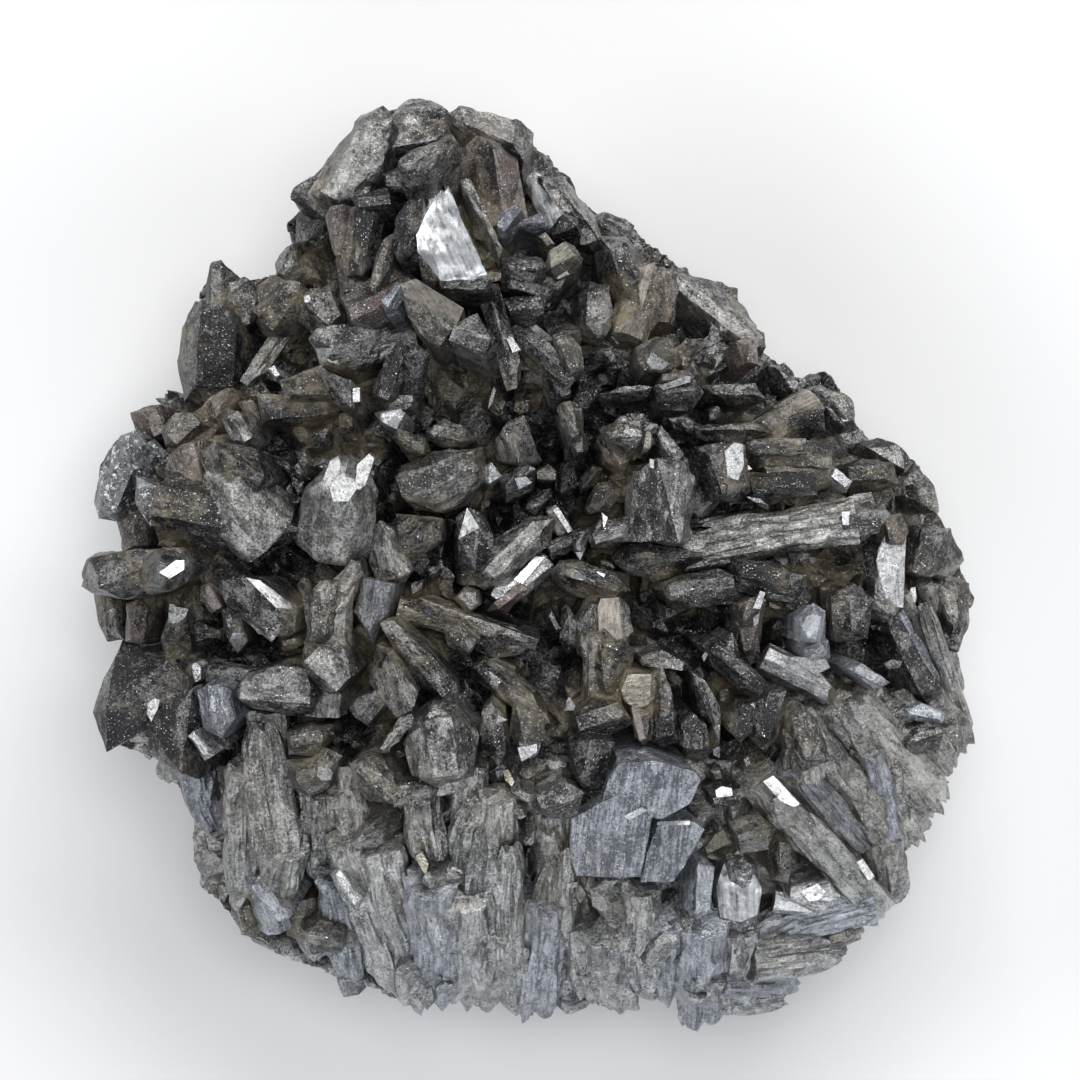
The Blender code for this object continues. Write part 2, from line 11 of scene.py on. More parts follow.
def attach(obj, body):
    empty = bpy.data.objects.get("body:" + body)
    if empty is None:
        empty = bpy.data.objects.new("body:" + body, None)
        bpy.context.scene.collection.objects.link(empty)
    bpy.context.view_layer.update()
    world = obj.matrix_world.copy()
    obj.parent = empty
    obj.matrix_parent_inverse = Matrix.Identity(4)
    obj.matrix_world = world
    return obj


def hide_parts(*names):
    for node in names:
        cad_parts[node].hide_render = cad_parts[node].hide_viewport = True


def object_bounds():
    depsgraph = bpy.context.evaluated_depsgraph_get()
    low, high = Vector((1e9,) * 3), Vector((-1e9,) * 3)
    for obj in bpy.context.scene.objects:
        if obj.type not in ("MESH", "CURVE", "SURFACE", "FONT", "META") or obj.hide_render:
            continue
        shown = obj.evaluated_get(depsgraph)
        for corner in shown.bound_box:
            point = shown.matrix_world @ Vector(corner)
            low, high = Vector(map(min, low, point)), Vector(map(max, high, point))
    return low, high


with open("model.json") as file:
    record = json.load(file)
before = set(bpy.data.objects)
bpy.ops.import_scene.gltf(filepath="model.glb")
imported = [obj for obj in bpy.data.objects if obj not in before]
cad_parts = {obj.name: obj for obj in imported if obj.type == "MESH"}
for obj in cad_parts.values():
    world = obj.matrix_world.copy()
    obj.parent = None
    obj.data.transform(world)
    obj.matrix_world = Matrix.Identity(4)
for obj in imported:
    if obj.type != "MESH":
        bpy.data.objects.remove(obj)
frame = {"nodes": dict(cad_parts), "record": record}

cad_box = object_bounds()

# ---------------------------------------------------------------- sizes and places

MM = 0.001
PIXEL = 0.1 * MM                 # one pixel of the 1080-pixel picture, on the specimen
MIDDLE_PX = (529.5, 562.5)       # the pixel over the frame's origin
FOCUS = Vector((0.0, 0.002, -0.006))   # the point that the fibres radiate from
SKY = 0.1                        # a height above everything
RIM = 0.016                      # about the height of the rim
DOWN = Vector((0.0, 0.0, -1.0))
FLUTE_PITCH = 0.28 * MM          # spacing of the striations on a prism
RING_PITCH = 1.1 * MM            # spacing of the rings along a prism
FLUTE_DEPTH = 0.014              # of a small crystal's striations, against its width
CRYSTAL_TAPER = 0.08             # how much narrower a small crystal is at its end
SHARP_ANGLE = math.radians(24)   # edges sharper than this aren't shaded smooth
SEED = 20
TOP_DROP = 3.4                   # mm that the mass is lowered between the crystals on it

mass_node = frame["nodes"]["intergrown_mass"]


def at(px, py):
    """The place on the specimen, in metres, under a pixel of the picture."""
    return (px - MIDDLE_PX[0]) * PIXEL, (MIDDLE_PX[1] - py) * PIXEL


# ---------------------------------------------------------------- noise


def hashed(cells, seed):
    """A repeatable number from 0 to 1 for each whole-numbered place."""
    mixed = np.uint32(seed * 2654435761 % 2 ** 32)
    for column, factor in zip(cells.T, (374761393, 668265263, 2147483647)):
        mixed = mixed + column.astype(np.int64).astype(np.uint32) * np.uint32(factor)
        mixed = (mixed ^ (mixed >> np.uint32(13))) * np.uint32(1274126177)
        mixed = mixed ^ (mixed >> np.uint32(16))
    return mixed.astype(np.float64) / 2 ** 32


def smooth_noise(points, seed):
    """Lattice noise from -1 to 1, one value for each row of points, features 1 unit apart."""
    points = np.atleast_2d(points)
    cell = np.floor(points)
    part = points - cell
    part = part * part * (3.0 - 2.0 * part)
    total = np.zeros(len(points))
    for corner in np.ndindex(*(2,) * points.shape[1]):
        weight = np.prod(np.where(corner, part, 1.0 - part), axis=1)
        total += weight * hashed(cell + corner, seed)
    return total * 2.0 - 1.0


# ---------------------------------------------------------------- places on the CAD solids


def tree_of(pieces):
    """A search tree over the faces of some objects, whose meshes are already in place."""
    points = []
    faces = []
    for piece in pieces:
        start = len(points)
        points.extend(vertex.co.copy() for vertex in piece.data.vertices)
        faces.extend([start + index for index in face.vertices] for face in piece.data.polygons)
    return BVHTree.FromPolygons(points, faces)


mass_tree = tree_of([mass_node])
crystal_tree = tree_of([
    node for name, node in frame["nodes"].items() if node is not mass_node])
slot_of = {row["node"]: row["material_slot"] for row in frame["record"]["subparts"]}


def ground(x, y):
    """Height of the mass at a place, or of its nearest point where nothing lies below."""
    place, _, _, _ = mass_tree.ray_cast(Vector((x, y, SKY)), DOWN)
    if place is None:
        place, _, _, _ = mass_tree.find_nearest(Vector((x, y, RIM)))
    return place.z


def standing(root, axis, outward=None):
    """A frame at root with Z along the axis and Y as far outward, or upward, as it goes."""
    axis = Vector(axis).normalized()
    outward = Vector((0.0, 0.0, 1.0)) if outward is None else Vector(outward)
    if abs(axis.dot(outward.normalized())) > 0.97:
        outward = Vector((0.0, 1.0, 0.0))
    facing = (outward - axis * outward.dot(axis)).normalized()
    matrix = Matrix((facing.cross(axis), facing, axis)).transposed().to_4x4()
    matrix.translation = root
    return matrix


# ---------------------------------------------------------------- shaping one crystal


def fluted_ring(corners, per_side, flutes, relief):
    """Points round a polygon, pushed out and in by the flutes between its corners."""
    following = np.roll(corners, -1, axis=0)
    points = []
    first = 0
    for start, end, count in zip(corners, following, per_side):
        share = (np.arange(count) / count)[:, None]
        side = end - start
        outward = np.array([side[1], -side[0]]) / max(np.hypot(*side), 1e-9)
        push = flutes[first:first + count] * relief
        push[0] = 0.0
        points.append(start + side * share + outward * push[:, None])
        first += count
    return np.concatenate(points)


def flute_profile(count, rng):
    """Steps of a striated face: flat stretches with sudden small drops."""
    steps = rng.random(count) < 0.45
    levels = rng.uniform(-1.0, 0.35, count)
    profile = np.zeros(count)
    level = 0.0
    for index in range(count):
        if steps[index]:
            level = levels[index]
        profile[index] = level
    return profile


def prism_body(low_corners, lean, length, rng, relief):
    """A closed striated prism as a bmesh: corners at its root, and how they lean with height."""
    sides = np.linalg.norm(np.roll(low_corners, -1, axis=0) - low_corners, axis=1)
    per_side = np.maximum(2, np.round(sides / FLUTE_PITCH).astype(int))
    count = int(per_side.sum())
    flutes = flute_profile(count, rng)
    rings = max(3, int(length / RING_PITCH))
    wobble = rng.integers(1, 10 ** 6)
    shape = bmesh.new()
    grid = []
    for height in np.linspace(0.0, length, rings + 1):
        corners = low_corners + lean * height
        ring = fluted_ring(corners, per_side, flutes, relief)
        turn = np.linspace(0.0, 6.0, count)
        around = np.stack([turn * 2.0, np.full(count, height / (4.0 * MM))], axis=1)
        ring = ring * (1.0 + 0.035 * smooth_noise(around, wobble))[:, None]
        grid.append([shape.verts.new((x, y, height)) for x, y in ring])
    for below, above in zip(grid, grid[1:]):
        for index in range(count):
            after = (index + 1) % count
            shape.faces.new((below[index], below[after], above[after], above[index]))
    shape.faces.new(grid[0][::-1])
    shape.faces.new(grid[-1])
    return shape


def cut_facet(shape, point, normal, facet):
    """Slice off what lies beyond a plane and close the cut with one flat facet."""
    geometry = shape.verts[:] + shape.edges[:] + shape.faces[:]
    cut = bmesh.ops.bisect_plane(
        shape, geom=geometry, plane_co=point, plane_no=normal, clear_outer=True)
    rim = [item for item in cut["geom_cut"] if isinstance(item, bmesh.types.BMEdge)]
    if len(rim) > 2:
        made = bmesh.ops.edgeloop_fill(shape, edges=rim)
        for face in made["faces"]:
            face.material_index = facet


class Heap:
    """Crystals gathered in one mesh, with the values that their materials read."""

    def __init__(self, name, slot):
        self.name = name
        self.slot = slot
        self.points = []
        self.faces = []
        self.grain = []
        self.tone = []
        self.marks = []
        self.facets = []
        self.count = 0

    def add(self, points, faces, marks, matrix, tone, seed, facets=None):
        matrix = np.array(matrix)
        placed = points @ matrix[:3, :3].T + matrix[:3, 3]
        placed[:, 2] = np.maximum(placed[:, 2], 0.0)
        self.points.append(placed)
        self.faces.extend([[index + self.count for index in face] for face in faces])
        shift = np.array([seed * 7.3 % 97.0, seed * 3.1 % 89.0, 0.0])
        self.grain.append(points / MM + shift)
        self.tone.append(np.full(len(points), tone))
        self.marks.extend(marks)
        self.facets.extend([0.0] * len(faces) if facets is None else facets)
        self.count += len(points)

    def add_shape(self, shape, matrix, tone, seed, gleam=None):
        """Take in one bmesh crystal. gleam says which facets shine: "side", "end" or None."""
        shape.normal_update()
        shape.verts.index_update()
        points = np.array([vertex.co for vertex in shape.verts])
        faces = [[vertex.index for vertex in face.verts] for face in shape.faces]
        marks = gleaming(shape, matrix, gleam)
        shape.free()
        self.add(points, faces, marks, matrix, tone, seed)

    def build(self, materials, smooth=False):
        mesh = bpy.data.meshes.new(self.name)
        mesh.from_pydata(np.concatenate(self.points).tolist(), [], self.faces)
        grain = mesh.attributes.new("grain", "FLOAT_VECTOR", "POINT")
        grain.data.foreach_set("vector", np.concatenate(self.grain).ravel())
        tone = mesh.attributes.new("tone", "FLOAT", "POINT")
        tone.data.foreach_set("value", np.concatenate(self.tone))
        facet = mesh.attributes.new("facet", "FLOAT", "FACE")
        facet.data.foreach_set("value", self.facets)
        mesh.polygons.foreach_set("material_index", self.marks)
        for material in materials:
            mesh.materials.append(material)
        if smooth:
            mesh.shade_smooth()
            mesh.set_sharp_from_angle(angle=SHARP_ANGLE)
        piece = bpy.data.objects.new(self.name, mesh)
        bpy.context.scene.collection.objects.link(piece)
        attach(piece, "root")
        return piece


def gleaming(shape, matrix, gleam):
    """1 for each face that gleams and 0 for the rest."""
    turn = Matrix(matrix).to_3x3()
    normals = [(turn @ face.normal).z for face in shape.faces]
    if gleam is None:
        return [0] * len(normals)
    if gleam == "side":
        return [
            1 if facing > 0.72 and face.material_index == 0 else 0
            for face, facing in zip(shape.faces, normals)]
    ends = [
        (face.calc_area() * max(facing, 0.0), index)
        for index, (face, facing) in enumerate(zip(shape.faces, normals))
        if face.material_index == 2]
    best = max(ends)[1] if ends else -1
    return [1 if index == best else 0 for index in range(len(normals))]


END_FACETS = {
    "chisel": [(48, 90), (52, 270), (66, 8)],
    "point": [(52, 40), (56, 130), (50, 222), (58, 315)],
    "slant": [(34, 80), (62, 250), (66, 350)],
    "dome": [(30, 95), (40, 265), (55, 0), (55, 185)],
    "broken": [(14, 60), (40, 200)],
}


def facet_normal(tilt, side):
    slope = math.radians(tilt)
    facing = math.radians(side)
    return Vector((
        math.sin(slope) * math.cos(facing),
        math.sin(slope) * math.sin(facing),
        math.cos(slope)))


def blunt(shape, length, width, rng):
    """Small facets that take the sharpness off a crystal's point."""
    for _ in range(2):
        normal = facet_normal(rng.uniform(4, 26), rng.uniform(0, 360))
        depth = width * rng.uniform(0.04, 0.10)
        cut_facet(shape, Vector((0.0, 0.0, length - depth)), normal, 2)


def roughen(shape, seed, amount):
    """Uneven growth: lumps and fine grit pushed along the normals of the prism's sides."""
    shape.normal_update()
    spots = np.array([vertex.co for vertex in shape.verts]) / MM
    push = smooth_noise(spots / 1.9, seed % 983) + 0.45 * smooth_noise(spots / 0.6, seed % 977)
    for vertex, amount_here in zip(shape.verts, push * amount * MM):
        if vertex.link_faces and all(face.material_index == 0 for face in vertex.link_faces):
            vertex.co += vertex.normal * float(amount_here)


def crystal(heap, matrix, length, width, depth, end, seed, tone):
    """One free crystal: a striated prism with a faceted end, placed by its matrix."""
    rng = np.random.default_rng(seed)
    sides = int(rng.integers(5, 8))
    turn = rng.uniform(0.0, 1.0)
    angles = (np.arange(sides) + turn + rng.uniform(-0.22, 0.22, sides)) / sides * 2 * math.pi
    radius = rng.uniform(0.90, 1.06, sides)
    corners = np.stack([
        np.cos(angles) * radius * width / 2, np.sin(angles) * radius * depth / 2], axis=1)
    lean = corners * -CRYSTAL_TAPER / length
    shape = prism_body(corners, lean, length, rng, FLUTE_DEPTH * width)
    for tilt, side in END_FACETS[end]:
        normal = facet_normal(tilt + rng.uniform(-8, 8), side + rng.uniform(-22, 22))
        cut_facet(shape, Vector((0.0, 0.0, length)), normal, 2)
    blunt(shape, length, min(width, depth), rng)
    roughen(shape, seed, 0.07)
    heap.add_shape(shape, matrix, tone, seed)


# ---------------------------------------------------------------- rough crystals


def cube_net(count):
    """Directions out to a cube's surface, count squares a side, and the squares' corners."""
    ticks = np.linspace(-1.0, 1.0, count + 1)
    first, second = np.meshgrid(ticks, ticks, indexing="ij")
    flat = np.ones_like(first)
    sheets = []
    for axis in range(3):
        for side in (-1.0, 1.0):
            columns = [first, second] if side > 0 else [second, first]
            columns.insert(axis, flat * side)
            if axis == 1:
                columns[0], columns[2] = columns[2], columns[0]
            sheets.append(np.stack(columns, axis=-1).reshape(-1, 3))
    points = np.concatenate(sheets)
    index = np.arange(len(points)).reshape(6, count + 1, count + 1)
    quads = np.stack([
        index[:, :-1, :-1], index[:, 1:, :-1], index[:, 1:, 1:], index[:, :-1, 1:]], axis=-1)
    keys = np.round(points * 4096).astype(np.int64)
    _, kept, renumbered = np.unique(keys, axis=0, return_index=True, return_inverse=True)
    return points[kept], renumbered.reshape(-1)[quads.reshape(-1, 4)]


NET = cube_net(26)
SHARPNESS = 44.0                 # how crisp the edges of a rough crystal are


def rock(heap, matrix, normals, offsets, seed, tone):
    """A rough crystal: the solid inside some planes, with worn edges and a gritty skin.

    normals and offsets give the planes in the crystal's own frame, Z along its length.
    """
    rng = np.random.default_rng(seed)
    shift = rng.uniform(0.0, 60.0, 3)
    low = np.array([-span(-axis, normals, offsets) for axis in np.eye(3)])
    high = np.array([span(axis, normals, offsets) for axis in np.eye(3)])
    centre = (low + high) / 2
    scale = np.maximum((high - low) / 2, 1e-5)
    tilted = normals * scale
    limits = offsets - normals @ centre
    net, quads = NET
    rays = net / np.linalg.norm(net, axis=1)[:, None]
    reach = np.maximum(rays @ (tilted / limits[:, None]).T, 0.0)
    top = reach.max(axis=1)
    weights = (reach / top[:, None]) ** SHARPNESS
    total = weights.sum(axis=1)
    radius = 1.0 / (top * total ** (1.0 / SHARPNESS))
    points = centre + rays * radius[:, None] * scale
    facing = (weights / total[:, None]) @ normals
    facing /= np.maximum(np.linalg.norm(facing, axis=1), 1e-9)[:, None]
    sideways = 1.0 - np.abs(facing[:, 2])
    spots = points / MM + shift
    around = np.column_stack([spots[:, 0] / 0.62, spots[:, 1] / 0.62, spots[:, 2] / 9.0])
    lines = smooth_noise(around, seed % 991) * 0.085 * sideways
    lumps = smooth_noise(spots / 1.7, seed % 983) * 0.15
    grit = smooth_noise(spots / 0.5, seed % 977) * 0.05
    size = min(1.0, float(scale.min()) / (1.3 * MM))
    points = points + facing * ((lines + lumps + grit) * size * MM)[:, None]
    heap.add(points, quads.tolist(), [0] * len(quads), matrix, tone, seed)


def span(direction, normals, offsets):
    """How far the solid inside the planes reaches in a direction, found by its corners."""
    corners = plane_corners(normals, offsets)
    return float((corners @ direction).max())


def plane_corners(normals, offsets):
    """Corners of the solid inside the planes."""
    key = (normals.tobytes(), offsets.tobytes())
    if key not in FOUND:
        FOUND.clear()
        count = len(normals)
        first, second, third = np.array([
            (i, j, k) for i in range(count) for j in range(i) for k in range(j)]).T
        rows = np.stack([normals[first], normals[second], normals[third]], axis=1)
        ends = np.stack([offsets[first], offsets[second], offsets[third]], axis=1)
        solid = np.abs(np.linalg.det(rows)) > 1e-4
        corners = np.linalg.solve(rows[solid], ends[solid][:, :, None])[:, :, 0]
        inside = (corners @ normals.T <= offsets + 1e-7).all(axis=1)
        FOUND[key] = corners[inside]
    return FOUND[key]


FOUND = {}


# ---------------------------------------------------------------- crystals for the CAD nodes


def plain_solid(node):
    """A node's solid as a bmesh with its flat faces whole again."""
    shape = bmesh.new()
    shape.from_mesh(node.data)
    bmesh.ops.remove_doubles(shape, verts=shape.verts, dist=0.002 * MM)
    bmesh.ops.dissolve_limit(
        shape, angle_limit=math.radians(0.5), verts=shape.verts, edges=shape.edges)
    shape.normal_update()
    return shape


def way_out(vertex, face):
    """Direction of the edge that leaves a face at one of its corners."""
    for edge in vertex.link_edges:
        if face not in edge.link_faces:
            return (edge.other_vert(vertex).co - vertex.co).normalized()
    return Vector((0.0, 0.0, 0.0))


def root_face(shape):
    """The buried end of a crystal: the face whose leaving edges run straight back from it."""
    def straightness(face):
        if len(face.verts) < 5:
            return -1.0
        return min(way_out(vertex, face).dot(-face.normal) for vertex in face.verts)
    return max(shape.faces, key=straightness)


FIBROUS = (
    "bottom_left_column", "bottom_right_column", "diagonal_rod", "light_blade_column",
    "lower_fibrous_trunk", "fibrous_trunk", "right_fan_block", "right_outer_blade")
LUMPY = (
    "left_big_crystal", "left_second_big_crystal", "egg_crystal", "left_arm_crystal",
    "rough_shelf_crystal", "speckled_plate", "speckled_column", "lilac_facet_crystal",
    "hollow_upright_prism")


# blades whose striations run across their buried face
GRAIN_WAY = {
    "knob_silver_blade": (0.12, -1.0, 0.0), "knob_second_silver_blade": (0.5, -1.0, 0.0)}


def node_crystal(name, seed, tone, which):
    """The detailed crystal of a CAD node, inside the same planes."""
    solid = plain_solid(frame["nodes"][name])
    root = root_face(solid)
    matrix = standing(root.calc_center_median(), -root.normal)
    local = matrix.inverted()
    heap = Heap("crystal_" + name, slot_of[name])
    if name in FIBROUS:
        fibrous_node(heap, solid, matrix, seed, tone)
    elif name in LUMPY:
        faces = sorted(
            (tuple(round(value, 4) for value in face.normal), face) for face in solid.faces)
        normals = np.array([local.to_3x3() @ face.normal for _, face in faces])
        points = np.array([local @ face.calc_center_median() for _, face in faces])
        offsets = (normals * points).sum(axis=1)
        rock(heap, matrix, normals, offsets, seed, tone)
    else:
        crisp_node(heap, solid, root, matrix, seed, tone, which)
    solid.free()
    if name in GRAIN_WAY:
        turn = np.array(standing(Vector(), Vector(GRAIN_WAY[name])).to_3x3())
        heap.grain = [points @ turn / MM for points in heap.points]
    return heap


def crisp_node(heap, solid, root, matrix, seed, tone, which):
    """A node's crystal with sharp clean facets, one or more of which gleam."""
    rng = np.random.default_rng(seed)
    local = matrix.inverted()
    ring = sorted(
        root.verts, key=lambda vertex: math.atan2((local @ vertex.co).y, (local @ vertex.co).x))
    corners = np.array([(local @ vertex.co).xy for vertex in ring])
    away = [local.to_3x3() @ way_out(vertex, root) for vertex in ring]
    lean = np.array([way.xy / way.z for way in away])
    length = max((local @ vertex.co).z for vertex in solid.verts)
    width = 2.0 * float(np.mean(np.linalg.norm(corners, axis=1)))
    shape = prism_body(corners, lean, length * 1.02, rng, 0.012 * width)
    root_verts = set(ring)
    for face in solid.faces:
        if not root_verts.intersection(face.verts):
            point = local @ face.calc_center_median()
            cut_facet(shape, point, local.to_3x3() @ face.normal, 2)
    roughen(shape, seed, 0.08)
    heap.add_shape(shape, matrix, tone, seed, which)


BUNDLE = 2.8 * MM                # how wide one strand of a fibrous node is


def fibrous_node(heap, solid, matrix, seed, tone):
    """A node's crystal as a bundle of splinters with a torn end."""
    rng = np.random.default_rng(seed)
    local = matrix.inverted()
    spots = np.array([local @ vertex.co for vertex in solid.verts])
    length = spots[:, 2].max()
    width, depth = (spots.max(axis=0) - spots.min(axis=0))[:2]
    splinter(heap, matrix, length, width * 0.92, depth * 0.92, seed, tone - 0.2, spread=1.0,
             ragged=0.08)
    count = int(np.clip(round(width / BUNDLE), 2, 6))
    for strand in range(count):
        draws = rng.random(4)
        across = (strand + 0.5) / count - 0.5
        shift = (across * width * 0.9, depth * (0.04 + 0.12 * draws[2]), 0.0)
        place = matrix @ Matrix.Translation(shift)
        splinter(heap, place, length * (0.70 + 0.30 * draws[0]), width * 1.15 / count,
                 depth * (0.80 + 0.12 * draws[3]), seed + 3 + strand,
                 tone + 0.6 * draws[1] - 0.3, spread=1.0, rise=0.9, layers=0.14)


# ---------------------------------------------------------------- splintered fibres


def splinter(heap, matrix, length, width, depth, seed, tone=0.5, spread=1.1,
             ragged=0.16, pitch=0.26, rise=1.0, layers=0.0):
    """A bundle of fibres: deeply fluted, slightly bent, with a torn end."""
    rng = np.random.default_rng(seed)
    count = int(max(20, min(64, math.pi * (width + depth) / 2 / (pitch * MM))))
    rings = int(max(6, min(40, length / (rise * MM))))
    turn = np.arange(count) / count
    angle = turn * 2 * math.pi
    circle = np.stack([np.cos(angle), np.sin(angle)], axis=1)
    squareness = 1.0 / np.maximum(np.abs(circle[:, 0]), np.abs(circle[:, 1])) ** 0.22
    size = np.array([width, depth]) / 2
    coarse = width * 0.10
    shape_seed = int(rng.integers(10 ** 6))
    tear = smooth_noise(np.stack([circle[:, 0] * 2.2, circle[:, 1] * 2.2], axis=1), shape_seed)
    fine_tear = rng.uniform(-1, 1, count)
    reach = length * (1.0 - ragged * (0.5 + 0.5 * tear) - ragged * 0.12 * np.abs(fine_tear))
    drift = rng.uniform(0.0, 50.0)
    points = []
    for ring in range(rings + 1):
        share = ring / rings
        height = reach * share
        wide = 1.0 + (spread - 1.0) * share - 0.45 * share ** 8
        place = np.stack([circle[:, 0] * 3.0, circle[:, 1] * 3.0, height / (6 * MM)], axis=1)
        fibres = np.stack([circle[:, 0] * 9.0, circle[:, 1] * 9.0, height / (5 * MM)], axis=1)
        push = 0.14 * smooth_noise(place, shape_seed + 1)
        push += 0.10 * smooth_noise(fibres, shape_seed + 2)
        flakes = np.stack([circle[:, 0] * 3.6, circle[:, 1] * 3.6, height / (1.5 * MM)], axis=1)
        push += layers * smooth_noise(flakes, shape_seed + 6)
        radius = squareness * (1.0 + push)
        flat = circle * size * radius[:, None] * wide
        path = np.array([
            [drift, share * length / (7 * MM)], [drift + 9, share * length / (6 * MM)]])
        flat += smooth_noise(path, shape_seed + 4) * size * share * 0.55
        points.append(np.concatenate([flat, height[:, None]], axis=1))
    inner = points[-1].copy()
    middle = inner.mean(axis=0)
    for share in (0.62, 0.25):
        ring = middle + (inner - middle) * share
        jag = smooth_noise(ring / (0.5 * MM), shape_seed + 3)
        ring[:, 2] += jag * coarse * 1.4 - coarse * 0.3
        points.append(ring)
    rows = len(points)
    grid = np.arange(rows * count).reshape(rows, count)
    below, above = grid[:-1], grid[1:]
    quads = np.stack([
        below, np.roll(below, -1, axis=1), np.roll(above, -1, axis=1), above], axis=-1)
    faces = quads.reshape(-1, 4).tolist()
    faces.append(grid[0][::-1].tolist())
    faces.append(grid[-1].tolist())
    points = np.concatenate(points)
    heap.add(points, faces, [0] * len(faces), matrix, tone, seed)


# ---------------------------------------------------------------- materials


class Recipe:
    """A node material: keeps the tree, and lays and links its nodes in order."""

    def __init__(self, name):
        self.material = bpy.data.materials.new(name)
        self.material.use_nodes = True
        self.tree = self.material.node_tree
        self.shader = self.tree.nodes["Principled BSDF"]
        self.place = 0

    def node(self, kind, inputs=(), **settings):
        made = self.tree.nodes.new(kind)
        self.place -= 180
        made.location = (self.place, 0)
        for key, value in settings.items():
            setattr(made, key, value)
        for key, value in dict(inputs).items():
            if isinstance(value, bpy.types.NodeSocket):
                self.tree.links.new(value, made.inputs[key])
            else:
                made.inputs[key].default_value = value
        return made

    def link(self, value, key):
        self.tree.links.new(value, self.shader.inputs[key])

    def attribute(self, name, output):
        return self.node("ShaderNodeAttribute", attribute_name=name).outputs[output]

    def noise(self, vector, scale, detail=2.0, roughness=0.55):
        inputs = {"Vector": vector, "Scale": scale, "Detail": detail, "Roughness": roughness}
        return self.node("ShaderNodeTexNoise", inputs).outputs["Fac"]

    def stretch(self, vector, factors):
        inputs = {"Vector": vector, "Scale": factors}
        return self.node("ShaderNodeMapping", inputs).outputs["Vector"]

    def reach(self, value, low, high, to_low=0.0, to_high=1.0):
        inputs = {
            "Value": value, "From Min": low, "From Max": high,
            "To Min": to_low, "To Max": to_high}
        return self.node("ShaderNodeMapRange", inputs).outputs["Result"]

    def vectors(self, operation, first, second, output="Vector"):
        made = self.node("ShaderNodeVectorMath", {0: first, 1: second}, operation=operation)
        return made.outputs[output]

    def flakes(self, vector):
        """Small tilted planes, one for each cell: their height, and a number for each."""
        cells = self.node("ShaderNodeTexVoronoi", {"Vector": vector, "Scale": 1.0})
        away = self.vectors("SUBTRACT", vector, cells.outputs["Position"])
        tilt = self.vectors("SUBTRACT", cells.outputs["Color"], (0.5, 0.5, 0.5))
        return self.vectors("DOT_PRODUCT", away, tilt, "Value"), cells.outputs["Color"]

    def math(self, operation, first, second):
        made = self.node("ShaderNodeMath", {0: first, 1: second}, operation=operation)
        return made.outputs["Value"]

    def mix(self, share, first, second, blend="MIX"):
        inputs = {"Factor": share, 6: first, 7: second}
        made = self.node(
            "ShaderNodeMix", inputs, data_type="RGBA", blend_type=blend, clamp_factor=True)
        return made.outputs[2]

    def bump(self, height, strength, distance, normal=None):
        inputs = {"Height": height, "Strength": strength, "Distance": distance}
        if normal is not None:
            inputs["Normal"] = normal
        return self.node("ShaderNodeBump", inputs).outputs["Normal"]


DUST = (0.210, 0.176, 0.116, 1.0)
# painted glint colour: near-white specks that stand in for tiny facets catching the light
GLINT = (0.66, 0.66, 0.64, 1.0)
DUST_REACH = 2.2 * MM
FLAKES = (1.25, 1.25, 0.42)      # small cleavage planes in 1 mm, across and along the grain
FLAKE_TILT = 0.42 * MM
# radius of the rounded edges, which are shaded round and also painted lighter as an edge highlight
EDGE_WEAR_AND_HIGHLIGHT = 0.16 * MM


